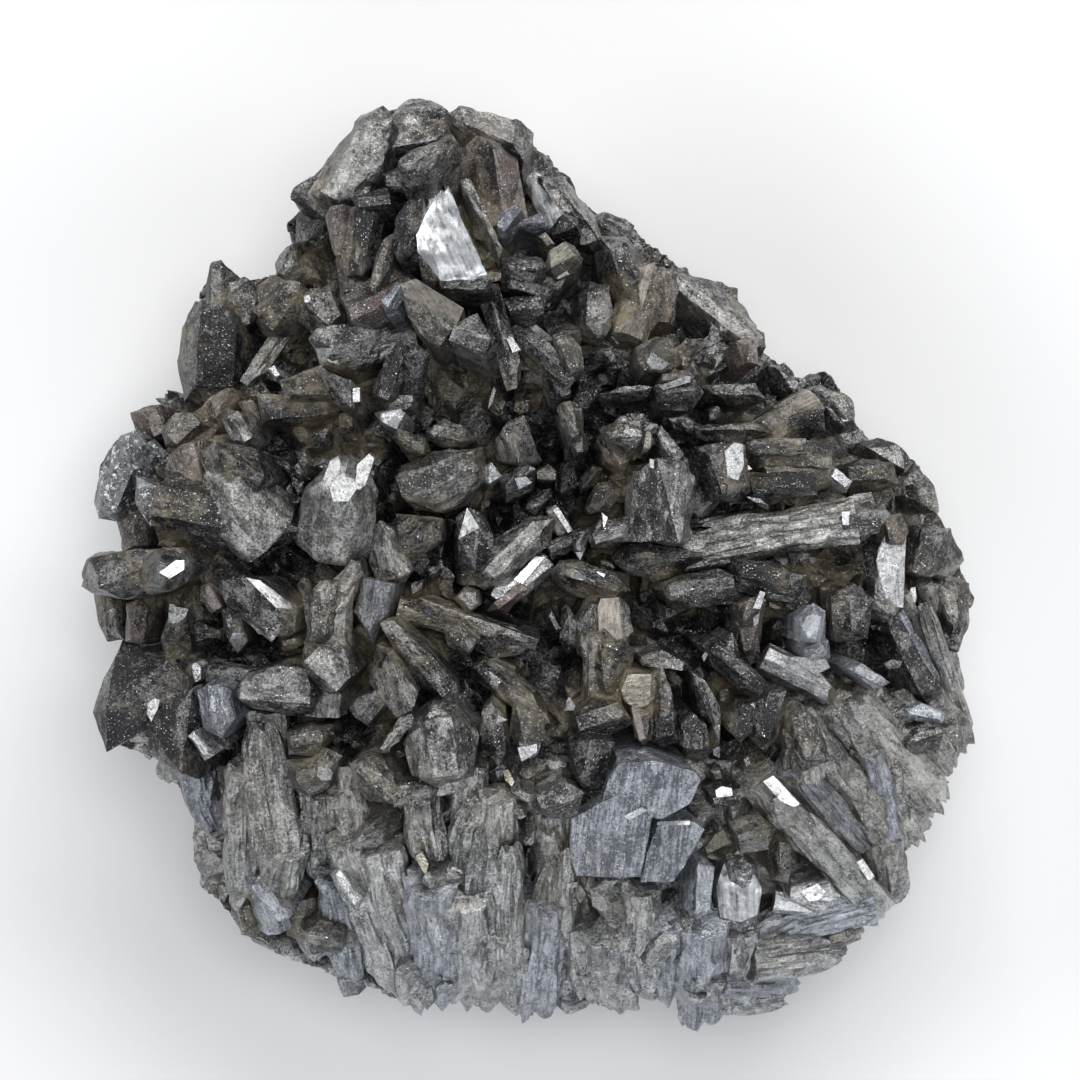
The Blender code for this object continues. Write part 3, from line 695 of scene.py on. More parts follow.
def stone(name, dark, light, metal, rough, dust=0.5, streak=0.5, fleck=0.0, tint=None,
          foot=None, run=0.7):
    """Striated, dusty, metallic mineral: colour runs from dark to light by streaks and tone."""
    make = Recipe(name)
    grain = make.attribute("grain", "Vector")
    tone = make.attribute("tone", "Fac")
    place = make.node("ShaderNodeTexCoord").outputs["Object"]
    fibres = make.noise(make.stretch(grain, (3.4, 3.4, run)), 1.0, 4.0, 0.7)
    patches = make.noise(place, 620.0, 3.0, 0.75)
    grit = make.noise(place, 3400.0, 2.0, 0.85)
    share = make.math("MULTIPLY", make.reach(fibres, 0.36, 0.66), streak)
    share = make.math("ADD", share, make.reach(patches, 0.34, 0.68, -0.28, 0.34))
    share = make.math("ADD", share, make.reach(grit, 0.36, 0.68, -0.22, 0.38))
    share = make.math("ADD", share, make.reach(tone, 0.0, 1.0, -0.30, 0.46))
    facet = make.attribute("facet", "Fac")
    share = make.math("ADD", share, make.math("MULTIPLY", facet, 0.30))
    flakes, number = make.flakes(make.stretch(grain, FLAKES))
    number = make.node("ShaderNodeSeparateXYZ", {"Vector": number}).outputs["X"]
    share = make.math("ADD", share, make.reach(number, 0.0, 1.0, -0.20, 0.20))
    rounded = make.node("ShaderNodeBevel", {"Radius": EDGE_WEAR_AND_HIGHLIGHT}, samples=2).outputs["Normal"]
    flat = make.node("ShaderNodeNewGeometry").outputs["True Normal"]
    bend = make.node("ShaderNodeVectorMath", {0: rounded, 1: flat}, operation="DOT_PRODUCT")
    # lighter colour on convex edges: partly edge wear, partly a painted highlight where the edges
    # catch the light
    edge = make.reach(bend.outputs["Value"], 0.985, 0.90)
    edge = make.math("MULTIPLY", edge, make.reach(grit, 0.35, 0.65))
    share = make.math("ADD", share, make.math("MULTIPLY", edge, 0.75))
    colour = make.mix(share, dark, light)
    # lighter, bluer colour towards the front (-Y) edge: partly the paler bare fibres there, partly
    # a painted blue-grey sheen of light from the floor and the front
    if foot is not None:
        across = make.node("ShaderNodeSeparateXYZ", {"Vector": place}).outputs["Y"]
        front_sheen_place = make.math("ADD", across, make.math("MULTIPLY", patches, 0.016))
        colour = make.mix(make.reach(front_sheen_place, -0.016, -0.036, 0.0, 0.8), colour,
                          make.mix(share, foot[0], foot[1]))
    if tint is not None:
        wash = make.noise(place, 210.0, 3.0)
        colour = make.mix(make.reach(wash, 0.5, 0.68, 0.0, 0.75), colour, tint)
    if fleck:
        specks = make.reach(make.noise(place, 1500.0, 3.0, 0.75), 0.56, 0.64)
        colour = make.mix(specks, colour, (0.74, 0.76, 0.78, 1.0))
    crevice = make.node(
        "ShaderNodeAmbientOcclusion", {"Distance": DUST_REACH}, samples=1).outputs["AO"]
    hidden = make.reach(crevice, 0.85, 0.35)
    drift = make.reach(make.noise(place, 95.0, 2.0, 0.65), 0.47, 0.60)
    settled = make.math("MULTIPLY", hidden, drift)
    powder = make.reach(make.noise(place, 1100.0, 2.0, 0.8), 0.44, 0.66, 0.0, 0.75)
    settled = make.math("ADD", settled, make.math("MULTIPLY", powder, drift))
    settled = make.math("MULTIPLY", settled, dust)
    # painted glints: near-white specks, with a little less roughness, standing in for tiny facets
    # that catch the light
    glint = make.reach(make.noise(place, 5200.0, 2.0, 0.6), 0.64, 0.70)
    colour = make.mix(glint, make.mix(settled, colour, DUST), GLINT)
    make.link(colour, "Base Color")
    metallic = make.math("SUBTRACT", metal, make.math("MULTIPLY", settled, metal))
    make.link(metallic, "Metallic")
    worn = make.reach(grit, 0.3, 0.7, rough - 0.10, rough + 0.14)
    worn = make.math("ADD", worn, make.math("MULTIPLY", settled, 0.35))
    worn = make.math("SUBTRACT", worn, make.math("MULTIPLY", facet, 0.06))
    make.link(make.math("SUBTRACT", worn, make.math("MULTIPLY", glint, 0.15)), "Roughness")
    normal = make.bump(fibres, 0.15 + 0.5 * streak, 0.14 * MM, rounded)
    normal = make.bump(patches, 0.5, 0.30 * MM, normal)
    normal = make.bump(grit, 0.9, 0.18 * MM, normal)
    make.link(make.bump(flakes, 1.0, FLAKE_TILT, normal), "Normal")
    return make.material


def gleam(name, colour, rough, shade, pitch=4.5, spots=0.85):
    """A clean facet or cleavage: bright metal with fine striations and faint steps."""
    make = Recipe(name)
    grain = make.attribute("grain", "Vector")
    lines = make.noise(make.stretch(grain, (pitch, pitch, 0.16)), 1.0, 4.0, 0.65)
    place = make.node("ShaderNodeTexCoord").outputs["Object"]
    steps = make.noise(place, 900.0, 4.0, 0.7)
    specks = make.reach(make.noise(place, 1500.0, 5.0, 0.85), 0.51, 0.63, 0.0, spots)
    share = make.math("ADD", make.reach(lines, 0.35, 0.7), make.reach(steps, 0.5, 0.75))
    paint = make.mix(make.math("MULTIPLY", share, 0.75), colour, shade)
    paint = make.mix(specks, paint, (0.10, 0.10, 0.10, 1.0))
    make.link(paint, "Base Color")
    make.shader.inputs["Metallic"].default_value = 1.0
    make.link(make.reach(steps, 0.35, 0.7, rough - 0.06, rough + 0.12), "Roughness")
    normal = make.bump(lines, 0.5, 0.10 * MM)
    make.link(make.bump(steps, 0.4, 0.10 * MM, normal), "Normal")
    return make.material


def rgb(red, green, blue):
    return (red, green, blue, 1.0)


satin = gleam("striated_cleavage", rgb(0.74, 0.76, 0.78), 0.40, rgb(0.10, 0.105, 0.115), 2.2, 0.25)
dull = gleam("dull_warm_facet", rgb(0.34, 0.31, 0.27), 0.46, rgb(0.12, 0.11, 0.10))
silver = gleam("silver_cleavage", rgb(0.72, 0.73, 0.74), 0.30, rgb(0.20, 0.205, 0.215))
gold = gleam("warm_cleavage", rgb(0.70, 0.66, 0.55), 0.30, rgb(0.17, 0.155, 0.125))
coats = {
    "dark_crystal": stone(
        "dark_crystal", rgb(0.020, 0.020, 0.022), rgb(0.275, 0.275, 0.275), 0.74, 0.31,
        dust=0.80, streak=0.2),
    # its foot colours are the paler fibres of the front edge with a painted blue-grey sheen
    "grey_fibres": stone(
        "grey_fibres", rgb(0.092, 0.092, 0.090), rgb(0.500, 0.500, 0.484), 0.76, 0.31,
        dust=0.38, streak=0.45, foot=(rgb(0.105, 0.112, 0.121), rgb(0.49, 0.51, 0.53))),
    "grey_crystal": stone(
        "grey_crystal", rgb(0.034, 0.034, 0.035), rgb(0.365, 0.365, 0.360), 0.76, 0.31,
        dust=0.55, streak=0.40),
    "blue_grey_cleavage": stone(
        "blue_grey_cleavage", rgb(0.088, 0.095, 0.112), rgb(0.390, 0.412, 0.458), 0.76, 0.33,
        dust=0.30, streak=0.80, run=0.14),
    "bright_cleavage": stone(
        "bright_cleavage", rgb(0.22, 0.225, 0.235), rgb(0.70, 0.71, 0.73), 0.92, 0.30,
        dust=0.12, streak=0.9),
    "warm_bright_facet": stone(
        "warm_bright_facet", rgb(0.050, 0.048, 0.044), rgb(0.330, 0.312, 0.278), 0.62, 0.36,
        dust=0.9, streak=0.15),
    "brown_tarnish": stone(
        "brown_tarnish", rgb(0.040, 0.036, 0.035), rgb(0.240, 0.215, 0.204), 0.60, 0.40,
        dust=0.6, tint=rgb(0.105, 0.066, 0.064)),
    "speckled_crust": stone(
        "speckled_crust", rgb(0.040, 0.042, 0.047), rgb(0.24, 0.25, 0.265), 0.70, 0.34,
        dust=0.25, fleck=1.0),
}


# ---------------------------------------------------------------- the intergrown mass


def fibre_zone(x, y):
    """1 where the top of the mass is bare fibres, along the lower edge, and 0 above it."""
    below = np.clip((-y - 17.0 * MM) / (5.0 * MM), 0.0, 1.0)
    right = np.clip((x - 23.0 * MM) / (5.0 * MM), 0.0, 1.0)
    right = right * np.clip((-y - 9.0 * MM) / (4.0 * MM), 0.0, 1.0)
    return np.maximum(below, right)


MASS_VOXEL = 0.55 * MM
MASS_SHARP = math.radians(42)
DARK_LEVEL = 14.0 * MM           # no dark crust on the mass below this height


def fibrous_mass():
    """The mass re-meshed finely, with fibres that radiate from its foot and a rough top."""
    mesh = mass_node.data.copy()
    piece = bpy.data.objects.new("fibrous_mass", mesh)
    bpy.context.scene.collection.objects.link(piece)
    weave = piece.modifiers.new("remesh", "REMESH")
    weave.mode = "VOXEL"
    weave.voxel_size = MASS_VOXEL
    fine = bpy.data.meshes.new_from_object(
        piece.evaluated_get(bpy.context.evaluated_depsgraph_get()))
    piece.modifiers.clear()
    piece.data = fine
    bpy.data.meshes.remove(mesh)
    count = len(fine.vertices)
    points = np.empty(count * 3)
    fine.vertices.foreach_get("co", points)
    points = points.reshape(-1, 3)
    normals = np.empty(count * 3)
    fine.vertices.foreach_get("normal", normals)
    normals = normals.reshape(-1, 3)
    away = points - np.array(FOCUS)
    distance = np.linalg.norm(away, axis=1)
    facing = away / distance[:, None]
    fibres = smooth_noise(np.column_stack([facing * 34.0, distance / (9 * MM)]), 5)
    bundles = smooth_noise(np.column_stack([facing * 13.0, distance / (14 * MM)]), 6)
    lumps = smooth_noise(points / (2.3 * MM), 7)
    grit = smooth_noise(points / (0.9 * MM), 8)
    upward = np.clip(normals[:, 2], 0.0, 1.0)
    zone = fibre_zone(points[:, 0], points[:, 1])
    wave = smooth_noise(points / (7.0 * MM), 9)
    fan = np.column_stack([facing[:, 0] * 15.0 + wave * 0.6, facing[:, 1] * 15.0, wave * 0.5])
    ridges = 1.0 - 2.0 * np.abs(smooth_noise(fan, 10))
    side = 0.50 * fibres + 0.60 * bundles - 0.3
    druse_bed = 1.3 * lumps - TOP_DROP
    fibre_bed = 1.25 * ridges + 0.8 * fibres + 0.5 * lumps + 0.6 * wave - 2.3
    push = (1.0 - upward) * side + upward * (zone * fibre_bed + (1.0 - zone) * druse_bed)
    push = (push + 0.18 * grit) * MM
    push *= np.clip((points[:, 2] - 0.3 * MM) / (2.0 * MM), 0.0, 1.0)
    points = points + normals * push[:, None]
    points[:, 2] = np.maximum(points[:, 2], 0.0)
    fine.vertices.foreach_set("co", points.ravel())
    grain = fine.attributes.new("grain", "FLOAT_VECTOR", "POINT")
    along = np.column_stack([facing * 40.0, distance / MM])[:, [0, 1, 3]]
    along[:, 1] += facing[:, 2] * 40.0
    grain.data.foreach_set("vector", along.ravel())
    tone = fine.attributes.new("tone", "FLOAT", "POINT")
    tone.data.foreach_set("value", 0.30 + 0.30 * ridges * zone + 0.2 * wave)
    fine.materials.clear()
    fine.materials.append(coats["grey_fibres"])
    fine.materials.append(coats["dark_crystal"])
    corners = np.empty(len(fine.loops), dtype=np.int32)
    fine.loops.foreach_get("vertex_index", corners)
    starts = np.empty(len(fine.polygons), dtype=np.int32)
    fine.polygons.foreach_get("loop_start", starts)
    first = corners[starts]
    dark = (zone[first] + 0.3 * lumps[first] < 0.4) & (points[first, 2] > DARK_LEVEL)
    fine.polygons.foreach_set("material_index", dark.astype(np.int32))
    fine.shade_smooth()
    fine.set_sharp_from_angle(angle=MASS_SHARP)
    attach(piece, "root")
    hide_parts("intergrown_mass")
    return piece


# ---------------------------------------------------------------- the large crystals

# name: (tone, which facets gleam, their metal)
LARGE = {
    "knob_silver_blade": (0.9, "side", satin),
    "knob_second_silver_blade": (0.9, "side", satin),
    "knob_gold_stub": (0.6, "end", gold),
    "shoulder_bright_crystal": (0.4, "end", gold),
    "gold_purple_prism": (0.4, "end", gold),
    "gold_hexagon_stub": (0.4, "end", gold),
    "slope_bright_prism": (0.5, "end", silver),
    "rough_shelf_crystal": (0.6, "end", silver),
    "white_facet_column": (0.4, "end", silver),
    "left_large_prism": (0.6, None, silver),
    "bright_facet_prism": (0.4, "end", gold),
    "gold_facet_host": (0.4, "end", gold),
    "white_facet_prism": (0.7, "end", silver),
    "white_facet_crystal": (0.4, "end", silver),
    "big_white_facet_crystal": (0.5, "end", silver),
    "bright_tip_crystal": (0.8, "end", silver),
    "right_rim_crystal": (0.15, "end", dull),
    "bluish_facet_crystal": (0.7, None, silver),
    "right_stepped_crystal": (0.5, "end", gold),
    "left_second_big_crystal": (0.4, None, gold),
    "diagonal_rod": (0.7, "end", silver),
}


def large_crystals():
    for number, name in enumerate(sorted(slot_of)):
        if name in ("intergrown_mass", "blue_fan_blades"):
            continue
        tone, which, metal = LARGE.get(name, (0.45, None, silver))
        heap = node_crystal(name, SEED + number * 17, tone, which)
        piece = heap.build([coats[slot_of[name]], metal], smooth=True)
        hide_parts(name)
        BUILT.append(piece)


BUILT = [fibrous_mass()]
large_crystals()

# ---------------------------------------------------------------- crystals drawn one by one

# The crystals and chunks that can be told apart, as the corners of convex solids. A row is
# "tone: x y h, x y h, ...;" with x and y in pixels and h in mm over the mass under it. After
# the tone stands "all" where every upper facet shines, or "x y metal" for the one that does.
GEMS = {
    # the next crystal's very low tone is painted shade: it lies in shadow
    "dark_crystal": """
        # knob
        0.3: 297 215 2, 312 200 3, 330 200 4, 340 212 5, 325 225 5, 322 248 4, 303 248 3,
            296 240 2;
        0.3: 355 202 6, 386 192 5, 390 205 5, 384 218 5, 362 212 6;
        0.3: 360 212 6.3, 384 216 5.6, 380 262 5, 366 280 4.4, 350 276 4.4, 357 262 6;
        0.3: 398 225 4, 412 205 5, 424 205 5.2, 422 240 5, 420 262 4, 400 262 4, 394 250 3.6;
        0.4: 385 178 5, 402 172 5.4, 425 182 4.6, 415 196 3.6, 390 200 3.8;
        0.5: 421 262 4.8, 434 262 5.2, 442 284 5, 436 292 4, 424 285 4;
        0.2: 442 285 4.6, 488 283 4.6, 492 295 3.6, 460 300 3, 440 292 3.4;
        0.1: 550 232 5, 563 219 5.4, 576 222 5, 579 238 4.4, 562 243 4.4, 552 238 4.4;
        0.2: 503 272 4, 530 284 4.4, 560 290 4, 558 298 3.4, 530 300 3.4, 505 290 3.4;
        0.5: 503 262 4.6, 522 258 5, 540 262 5, 545 270 4.8, 532 284 4.4, 510 275 4.6;
        0.2: 505 302 3.4, 545 298 4, 543 315 3.6, 530 322 3.4, 512 318 3.4;
        0.55: 600 240 4, 625 240 4.4, 642 262 4, 636 290 4, 618 300 4, 600 280 3.6, 596 255 3.4;
        # upper left
        0.5: 205 290 3, 208 272 4, 216 264 4.5, 224 270 4.5, 230 290 4, 220 318 3, 208 305 3;
        0.3: 288 283 5.5, 300 285 5.8, 306 296 5, 298 318 4.6, 282 337 4, 266 335 3.8, 259 322 4,
            265 308 5;
        0.15: 185 330 1.5, 196 305 2.5, 225 310 3.6, 235 335 4, 232 385 3.6, 208 402 2.6,
            186 398 1.6, 179 360 1;
        0.4: 283 382 4, 322 368 5, 332 380 5.2, 340 402 4, 325 400 4.6, 290 402 4;
        0.05: 262 396 3.6, 338 398 4, 340 410 3.4, 300 424 3, 266 424 3;
        0.7: 322 372 5.2, 352 382 5.4, 358 400 4.8, 346 412 4.4, 332 400 4.6;
        0.4: 375 395 4, 385 365 4.6, 400 345 5.2, 408 350 5, 400 392 4.2, 385 402 3.6;
        0.5: 240 404 3.4, 252 401 3.8, 264 412 3.6, 262 425 3, 250 418 3.2;
        0.6: 465 325 5, 478 318 5, 496 345 4.6, 488 358 3.8, 460 352 4, 448 342 4.6;
        0.4: 395 440 4, 400 430 4.6, 425 440 4.6, 430 452 4, 412 460 3.4;
        0.5: 165 430 3, 178 415 4, 198 415 4, 200 432 3.5, 190 450 2.5, 168 446 2.5;
        # left
        0.3: 222 442 6.4, 262 483 6.6, 252 500 5.6, 215 478 5.2, 205 455 4.6, 258 452 5,
            270 474 5.2;
        0.3: 168 505 3, 190 470 4, 230 500 5, 298 530 3, 285 541 2, 166 540 1.5, 200 548 1.5;
        0.6: 90 588 1.5, 108 590 3, 120 600 3.4, 121 638 3.4, 105 640 2.5, 98 625 2;
        0.3 240 641 silver: 223 610 3, 232 605 4, 242 608 3.8, 250 640 3.6, 240 652 2.6,
            232 640 3.6, 236 632 4.4, 247 632 4.2;
        0.4 268 592 silver: 226 580 4, 250 577 6, 264 580 5.4, 300 608 4.8, 298 632 3.8,
            288 637 3.8, 262 632 3.8, 228 600 3, 280 607 6;
        0.5: 236 692 3, 252 673 4.2, 280 666 4.6, 306 668 4.4, 322 692 3.6, 312 712 3,
            286 712 3.4, 248 702 2.8;
        0.4: 290 730 4, 308 725 4.6, 330 726 4.6, 336 735 4, 318 752 3.2, 292 752 3.4;
        0.4: 290 760 4, 320 757 4.8, 333 762 4.4, 330 785 3.6, 312 793 3, 296 786 3.2;
        0.3: 152 722 3.5, 170 705 5, 195 690 4.6, 205 735 4, 200 775 3, 175 770 2.5, 155 750 2.5;
        0.5: 88 585 1, 96 560 2.2, 130 552 3.6, 180 550 5, 190 562 5, 186 575 4.4, 150 590 3.6,
            132 598 2.6, 98 592 1.4;
        0.35: 118 658 2, 150 655 3.5, 190 660 4, 188 700 4.4, 150 725 3, 112 745 1.5, 98 710 1,
            108 680 1.5;
        0.7: 285 640 3, 298 637 3.2, 302 645 3, 290 650 2.5, 284 645 2.4;
        # middle
        0.6: 497 442 3.4, 510 422 4.4, 524 418 4.6, 540 460 3.4, 530 466 3, 498 460 3;
        0.5: 545 380 3, 560 376 3.6, 570 392 3.4, 563 402 2.8, 550 398 2.6;
        0.5: 570 437 3.6, 582 430 3.6, 588 450 3, 575 458 2.6;
        0.6: 656 388 3.6, 690 380 4, 700 395 3.4, 690 412 3, 662 410 3;
        0.4: 398 515 4.6, 440 520 4.6, 440 540 4.2, 415 560 3.8, 400 560 4;
        0.4 470 526 silver: 458 518 5, 468 508 5.6, 480 512 5.6, 492 535 5, 496 560 4,
            487 570 3.6, 476 570 3.8, 462 555 4.4, 458 535 5, 480 528 6.2, 459 539 5.4;
        0.6: 547 508 4.4, 556 506 5, 572 530 4.6, 562 540 4, 550 530 4.2;
        0.7: 456 598 3.6, 465 588 4.2, 477 592 4.2, 480 604 3.6, 468 612 3.2;
        0.5: 558 466 3.4, 572 460 3.8, 578 485 3.4, 566 500 3, 556 490 3;
        0.3: 580 480 3, 592 466 3.4, 602 470 3.2, 595 486 2.8, 582 492 2.6;
        0.35: 591 500 3, 598 485 3.8, 610 482 3.8, 622 490 3.2, 608 510 3, 592 512 2.8;
        0.3: 617 560 3, 632 545 4, 660 542 4.4, 700 552 4.2, 705 562 3.6, 680 565 3.6, 655 580 3,
            630 572 2.8;
        0.5: 553 572 4.4, 562 563 5, 580 562 5.4, 612 572 5.2, 627 590 4.4, 622 600 3.6,
            600 600 3.6, 575 595 3.6, 560 585 4, 600 572 5.6;
        0.4: 662 590 3, 690 575 4, 715 570 4.4, 740 578 4, 735 600 3.4, 700 605 3.4, 670 602 3;
        0.55: 405 606 4, 425 600 4.6, 470 628 4.4, 500 632 4.6, 535 638 4.4, 530 650 3.6,
            495 655 3.6, 440 630 3.6;
        0.65: 445 628 5, 462 625 5.4, 478 640 5.2, 464 657 4.4, 450 645 4.6;
        0.5: 385 625 4, 398 622 4.6, 455 680 4.6, 458 700 3.8, 440 700 3.6, 410 670 3.8;
        0.5: 380 645 4.4, 395 650 5, 418 690 5, 412 712 4, 398 712 4, 372 680 4;
        0.6: 562 612 4, 567 608 4.6, 577 622 4.4, 576 645 3.8, 566 652 3.4, 560 640 3.6;
        0.6: 547 616 4, 552 611 4.4, 560 628 4, 556 632 3.6;
        0.4: 578 625 4, 590 605 4.6, 598 605 5, 598 650 4.4, 584 658 3.6, 578 650 3.6;
        0.7 610 620 dull: 597 606 6, 600 598 6, 617 597 6, 622 640 5.8, 605 643 5.8, 599 640 5.8,
            632 630 4.6, 628 605 4.6;
        0.25: 600 645 5.6, 622 641 5.6, 632 650 4.4, 622 695 4, 604 700 4, 590 690 4.4, 600 660 5;
        0.3: 640 655 4.4, 662 650 4.8, 682 658 4.6, 690 668 4, 660 666 4, 642 664 4;
        0.4: 650 675 5, 660 668 5.6, 670 700 5.4, 678 735 4.4, 662 742 4, 650 738 4;
        0.6: 690 672 4.4, 703 680 4.6, 717 705 4.4, 716 740 3.6, 708 745 3.4, 700 710 4;
        0.5: 680 722 4.4, 692 714 5, 703 722 5, 706 745 4, 690 752 3.6, 680 742 4;
        0.35: 570 742 5, 590 740 5.4, 612 741 5.4, 605 762 4.6, 600 785 4.2, 580 788 4,
            572 768 4.4;
        0.4: 483 710 4, 492 702 4.6, 505 712 4.4, 510 745 3.8, 498 760 3.2, 484 745 3.4;
        0.3: 590 700 3.6, 620 705 4.4, 630 720 4.4, 600 735 3.8, 570 738 3.2, 575 722 3.4;
        0.5: 480 665 4, 486 661 4.6, 500 690 4.2, 540 705 4, 546 718 3.4, 520 712 3.4,
            495 690 3.6;
        # right
        0.4: 700 645 4, 718 640 4.4, 740 660 4.6, 764 680 4, 755 690 3.4, 735 684 3.6, 712 665 4;
        0.3: 694 450 4, 720 446 4.8, 741 448 4.6, 746 490 3.8, 735 500 3.4, 700 500 3.4,
            692 480 3.6;
        0.25: 745 442 4.6, 800 440 4.8, 826 448 4.4, 824 470 3.6, 806 474 3.6, 750 474 3.6;
        0.1: 745 474 3.6, 808 474 3.6, 812 495 2.8, 750 500 2.6;
        0.15: 842 470 3, 862 460 3.6, 890 465 3.6, 896 485 3, 850 496 2.6;
        0.3: 770 420 3.6, 818 412 4, 822 432 3, 790 444 2.8, 772 436 3;
        0.3: 735 560 3.6, 770 562 4, 800 575 3.6, 790 600 3, 760 598 3.2, 740 590 3.2;
        0.3: 722 640 3.6, 730 632 4, 738 655 3.8, 730 668 3.4, 720 660 3.4;
        0.4: 820 590 3.6, 850 585 4, 868 600 4, 862 635 3.6, 835 640 3.4, 822 620 3.4;
        0.45: 886 618 4, 898 618 4.4, 938 690 4, 925 700 3.4, 908 690 3.4, 888 650 3.4;
        0.3: 727 722 4, 742 705 4.6, 752 700 4.8, 748 730 4.2, 738 738 3.8;
        0.3: 750 705 4.8, 768 690 5.2, 782 690 5, 775 730 4.4, 762 748 4, 750 735 4.2;
        0.6: 771 850 3.6, 778 841 4.2, 788 842 4.2, 790 865 3.6, 786 880 3, 772 876 3;
        0.5: 712 790 4, 738 784 4.4, 738 800 3.8, 718 804 3.6, 710 798 3.6;
        0.5: 730 822 4, 760 815 4.4, 772 825 4.2, 765 845 3.6, 740 850 3.6;
    """,
    "grey_fibres": """
        0.5: 395 112 3, 410 99 3.6, 422 98 3.6, 440 108 3.4, 450 118 3.4, 440 135 4.6, 400 138 5,
            388 125 4;
        0.8: 322 175 2, 345 148 3.4, 362 122 3, 382 112 3.4, 392 125 5, 384 165 6, 368 195 5.6,
            345 203 5, 332 198 4, 328 185 3;
        0.35: 385 125 5, 410 118 5.4, 445 125 5.2, 452 140 5, 430 160 5.4, 405 165 5.6,
            388 158 5.4;
        0.5: 402 165 5.6, 430 158 5.6, 452 140 5.2, 455 147 4.8, 430 178 5, 412 184 4.6,
            402 175 5;
        0.6: 452 118 3.4, 462 111 3.4, 480 121 3.8, 515 121 3.6, 530 135 3.2, 520 160 4.4,
            495 148 5.4, 470 130 5.2;
        0.8: 540 180 5, 565 182 4.6, 585 205 4, 600 235 3.6, 600 250 3.6, 580 245 5, 560 215 5.4,
            548 195 5.4;
        0.8: 594 216 3, 605 213 3.6, 624 220 3.8, 632 226 3.2, 628 242 3, 612 238 4, 598 232 4;
        0.6: 463 186 5, 472 186 5.6, 502 250 5, 498 260 4, 480 228 4;
        0.6: 230 284 3, 248 280 3.6, 255 300 4.2, 260 320 3.6, 245 332 3, 234 328 3, 228 300 3.4;
        0.5: 275 262 2, 285 248 2.6, 298 244 2.6, 296 262 3.4, 288 280 3, 276 276 2.6;
        0.5: 300 305 4, 312 292 5, 330 295 5, 343 315 4.4, 335 330 4, 315 335 4, 300 322 3.8;
        0.7 327 358 silver: 311 339 4, 330 328 5.5, 352 325 5.5, 388 328 5, 398 342 4.4,
            388 356 4.4, 345 372 4.4, 322 368 4, 318 350 4.6, 336 350 6.4, 368 340 6.2, 334 366 5;
        0.8: 383 400 4.4, 402 396 5, 412 398 5, 411 408 4.6, 390 412 4.4;
        0.9: 226 422 3, 232 412 3.8, 250 418 3.8, 256 440 3.4, 246 448 3, 232 440 3;
        0.5: 575 300 3.6, 590 285 4.2, 608 290 4.4, 612 315 4, 600 340 3.6, 582 335 3.4;
        0.85: 662 270 3.6, 690 276 4, 715 282 3.8, 740 305 3.4, 760 335 3, 755 345 3.6,
            728 335 4.4, 705 310 5, 693 292 5, 675 285 5;
        0.5: 702 388 3.4, 730 385 4, 752 385 3.8, 762 400 3.2, 735 404 3, 708 402 3;
        0.5: 602 395 3, 625 388 3.6, 648 390 3.4, 645 400 3, 610 402 2.8;
        0.8: 561 408 4.4, 570 405 4.8, 579 426 4.4, 581 437 4, 571 437 4, 563 424 4.2;
        0.7: 604 430 4, 620 420 4.6, 638 420 4.6, 643 434 4.2, 630 452 4, 614 440 4;
        0.6: 650 435 3.8, 660 430 4.2, 680 455 3.6, 676 466 3.2, 662 460 3.2;
        0.6: 668 420 3.4, 682 418 3.8, 692 426 3.6, 688 434 3, 672 430 3;
        0.5: 692 428 3.4, 720 430 3.8, 755 425 3.4, 768 435 3, 740 442 2.8, 705 440 3;
        0.7: 400 480 4, 410 465 4.8, 428 457 5.4, 458 458 5.6, 480 450 4.6, 480 480 4.4,
            462 500 4.4, 440 512 4.2, 418 508 4.4, 404 495 4;
        0.6: 430 430 4, 445 420 4.6, 462 425 4.6, 475 440 4, 460 448 4, 438 445 4;
        0.6: 498 478 3.6, 520 464 4.4, 534 470 4.4, 530 490 3.6, 508 500 3.2;
        0.8: 550 488 4, 552 498 3.8, 535 514 3.4, 527 508 3.4, 532 498 3.8;
        0.7: 493 545 4, 498 538 4.6, 530 520 5, 552 520 4.8, 545 545 4.6, 505 582 3.8,
            486 588 3.4, 478 583 3.4;
        0.6: 545 543 4, 560 538 4.4, 578 530 4.4, 575 548 3.8, 552 555 3.6;
        0.95: 374 530 5, 382 524 5.6, 396 530 5.4, 400 560 5, 410 570 4.6, 402 580 4, 382 582 4,
            372 560 4.4;
        0.8: 335 580 4.4, 350 565 5, 362 560 5, 364 575 4.6, 355 600 4, 340 598 4;
        0.85: 308 600 5, 322 582 5.6, 338 584 5.6, 340 620 5, 332 640 4.6, 312 640 4.6;
        0.5: 308 642 4.8, 345 640 5, 358 670 4.4, 342 690 3.8, 318 688 4, 306 665 4.2;
        0.8: 592 535 3.6, 600 522 4.4, 627 520 4.6, 628 540 4.2, 605 547 3.6, 593 545 3.4;
        0.8: 573 535 3.8, 590 528 4.2, 592 534 4, 582 558 3.4, 575 550 3.4;
        0.8: 638 475 4.6, 655 462 5.4, 680 465 5.2, 690 480 4.8, 682 520 4.6, 688 535 4.2,
            680 542 4, 655 538 4, 628 538 3.6;
        0.7: 838 505 3.8, 866 502 4.2, 884 516 4, 858 542 3.4, 838 528 3.4;
        0.6: 746 452 4.4, 752 442 5, 800 441 5.2, 798 452 4.8, 760 456 4.6;
        0.5: 770 366 2.4, 785 362 3, 798 382 3.2, 795 395 3, 780 388 3;
        0.6: 806 392 3, 820 385 3.4, 838 392 3.4, 850 404 3, 856 424 2.6, 840 432 3, 822 415 3.6;
        0.6: 862 445 2.4, 880 438 3, 900 445 3, 912 462 2.6, 905 475 2.6, 880 465 3;
        0.6: 905 478 3, 922 474 3, 934 486 2.4, 938 512 2, 920 510 2.6, 905 495 3;
        0.5: 910 545 3, 930 528 3.4, 950 530 2.6, 962 560 1.6, 950 575 2, 925 580 3, 912 565 3;
